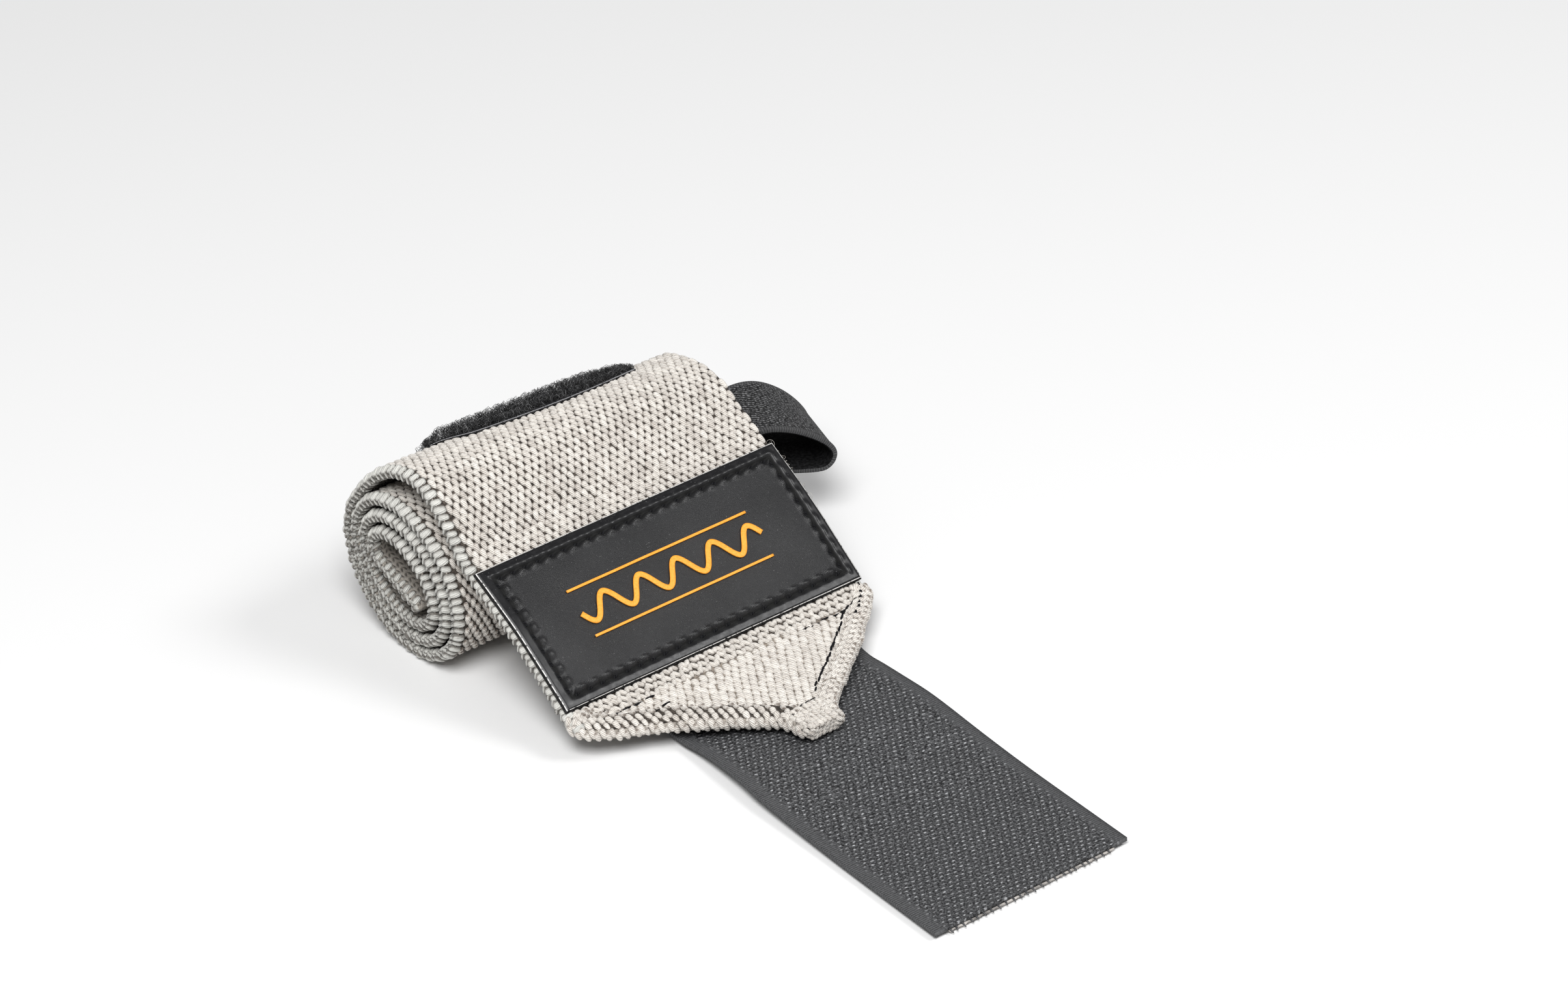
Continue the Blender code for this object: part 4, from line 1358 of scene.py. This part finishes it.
def soft_light(name, spot, size, power):
    """A square area light aimed at the wrap's middle."""
    data = bpy.data.lights.new(name, "AREA")
    data.size = size
    data.energy = power
    light = bpy.data.objects.new(name, data)
    bpy.context.scene.collection.objects.link(light)
    light.location = spot
    light.rotation_euler = (-light.location).to_track_quat("-Z", "Y").to_euler()


soft_light("key_left", (-0.60, -0.50, 1.15), 0.70, 19.0)
soft_light("right_front", (0.62, -0.62, 1.0), 0.45, 6.0)


# Camera: 1.4 m off, 36.4 degrees to the left of the strap's line and 32.8 degrees above the
# table, rolled by 2.2 degrees, as in the photograph.
IMAGE_WIDTH, IMAGE_HEIGHT = 2408.0, 1515.0
VIEW_TURN = math.radians(36.4)
VIEW_RISE = math.radians(32.8)
VIEW_ROLL = math.radians(2.2)
VIEW_DISTANCE = 1.4
FOCAL_PIXELS = 7.473 * 1400.0
SENSOR_WIDTH = 36.0
# the pixel where the tables' zero point lies
ZERO_PIXEL = (636.5, 992.5)
right_way = Vector((math.cos(VIEW_TURN), -math.sin(VIEW_TURN), 0.0))
away = Vector((math.sin(VIEW_TURN), math.cos(VIEW_TURN), 0.0))
forward = away * math.cos(VIEW_RISE) - Vector((0, 0, math.sin(VIEW_RISE)))
up_way = Vector((0, 0, math.cos(VIEW_RISE))) + away * math.sin(VIEW_RISE)
image_right = right_way * math.cos(VIEW_ROLL) - up_way * math.sin(VIEW_ROLL)
image_up = right_way * math.sin(VIEW_ROLL) + up_way * math.cos(VIEW_ROLL)
eye = Vector((ALONG_ZERO, FRONT_ZERO, 0.0)) - forward * VIEW_DISTANCE
# turned so that the middle of the picture is on the lens's axis
aside = (IMAGE_WIDTH / 2 - ZERO_PIXEL[0]) / FOCAL_PIXELS
above = (ZERO_PIXEL[1] - IMAGE_HEIGHT / 2) / FOCAL_PIXELS
aim = (forward + image_right * aside + image_up * above).normalized()
side = (image_right - aim * image_right.dot(aim)).normalized()
top = side.cross(aim)
camera_data = bpy.data.cameras.new("camera")
camera_data.sensor_width = SENSOR_WIDTH
camera_data.lens = FOCAL_PIXELS * math.sqrt(1 + aside ** 2 + above ** 2) * SENSOR_WIDTH / IMAGE_WIDTH
camera_data.clip_start = 0.05
camera = bpy.data.objects.new("camera", camera_data)
bpy.context.scene.collection.objects.link(camera)
camera.matrix_world = Matrix((
    (side.x, top.x, -aim.x, eye.x),
    (side.y, top.y, -aim.y, eye.y),
    (side.z, top.z, -aim.z, eye.z),
    (0.0, 0.0, 0.0, 1.0),
))
bpy.context.scene.camera = camera
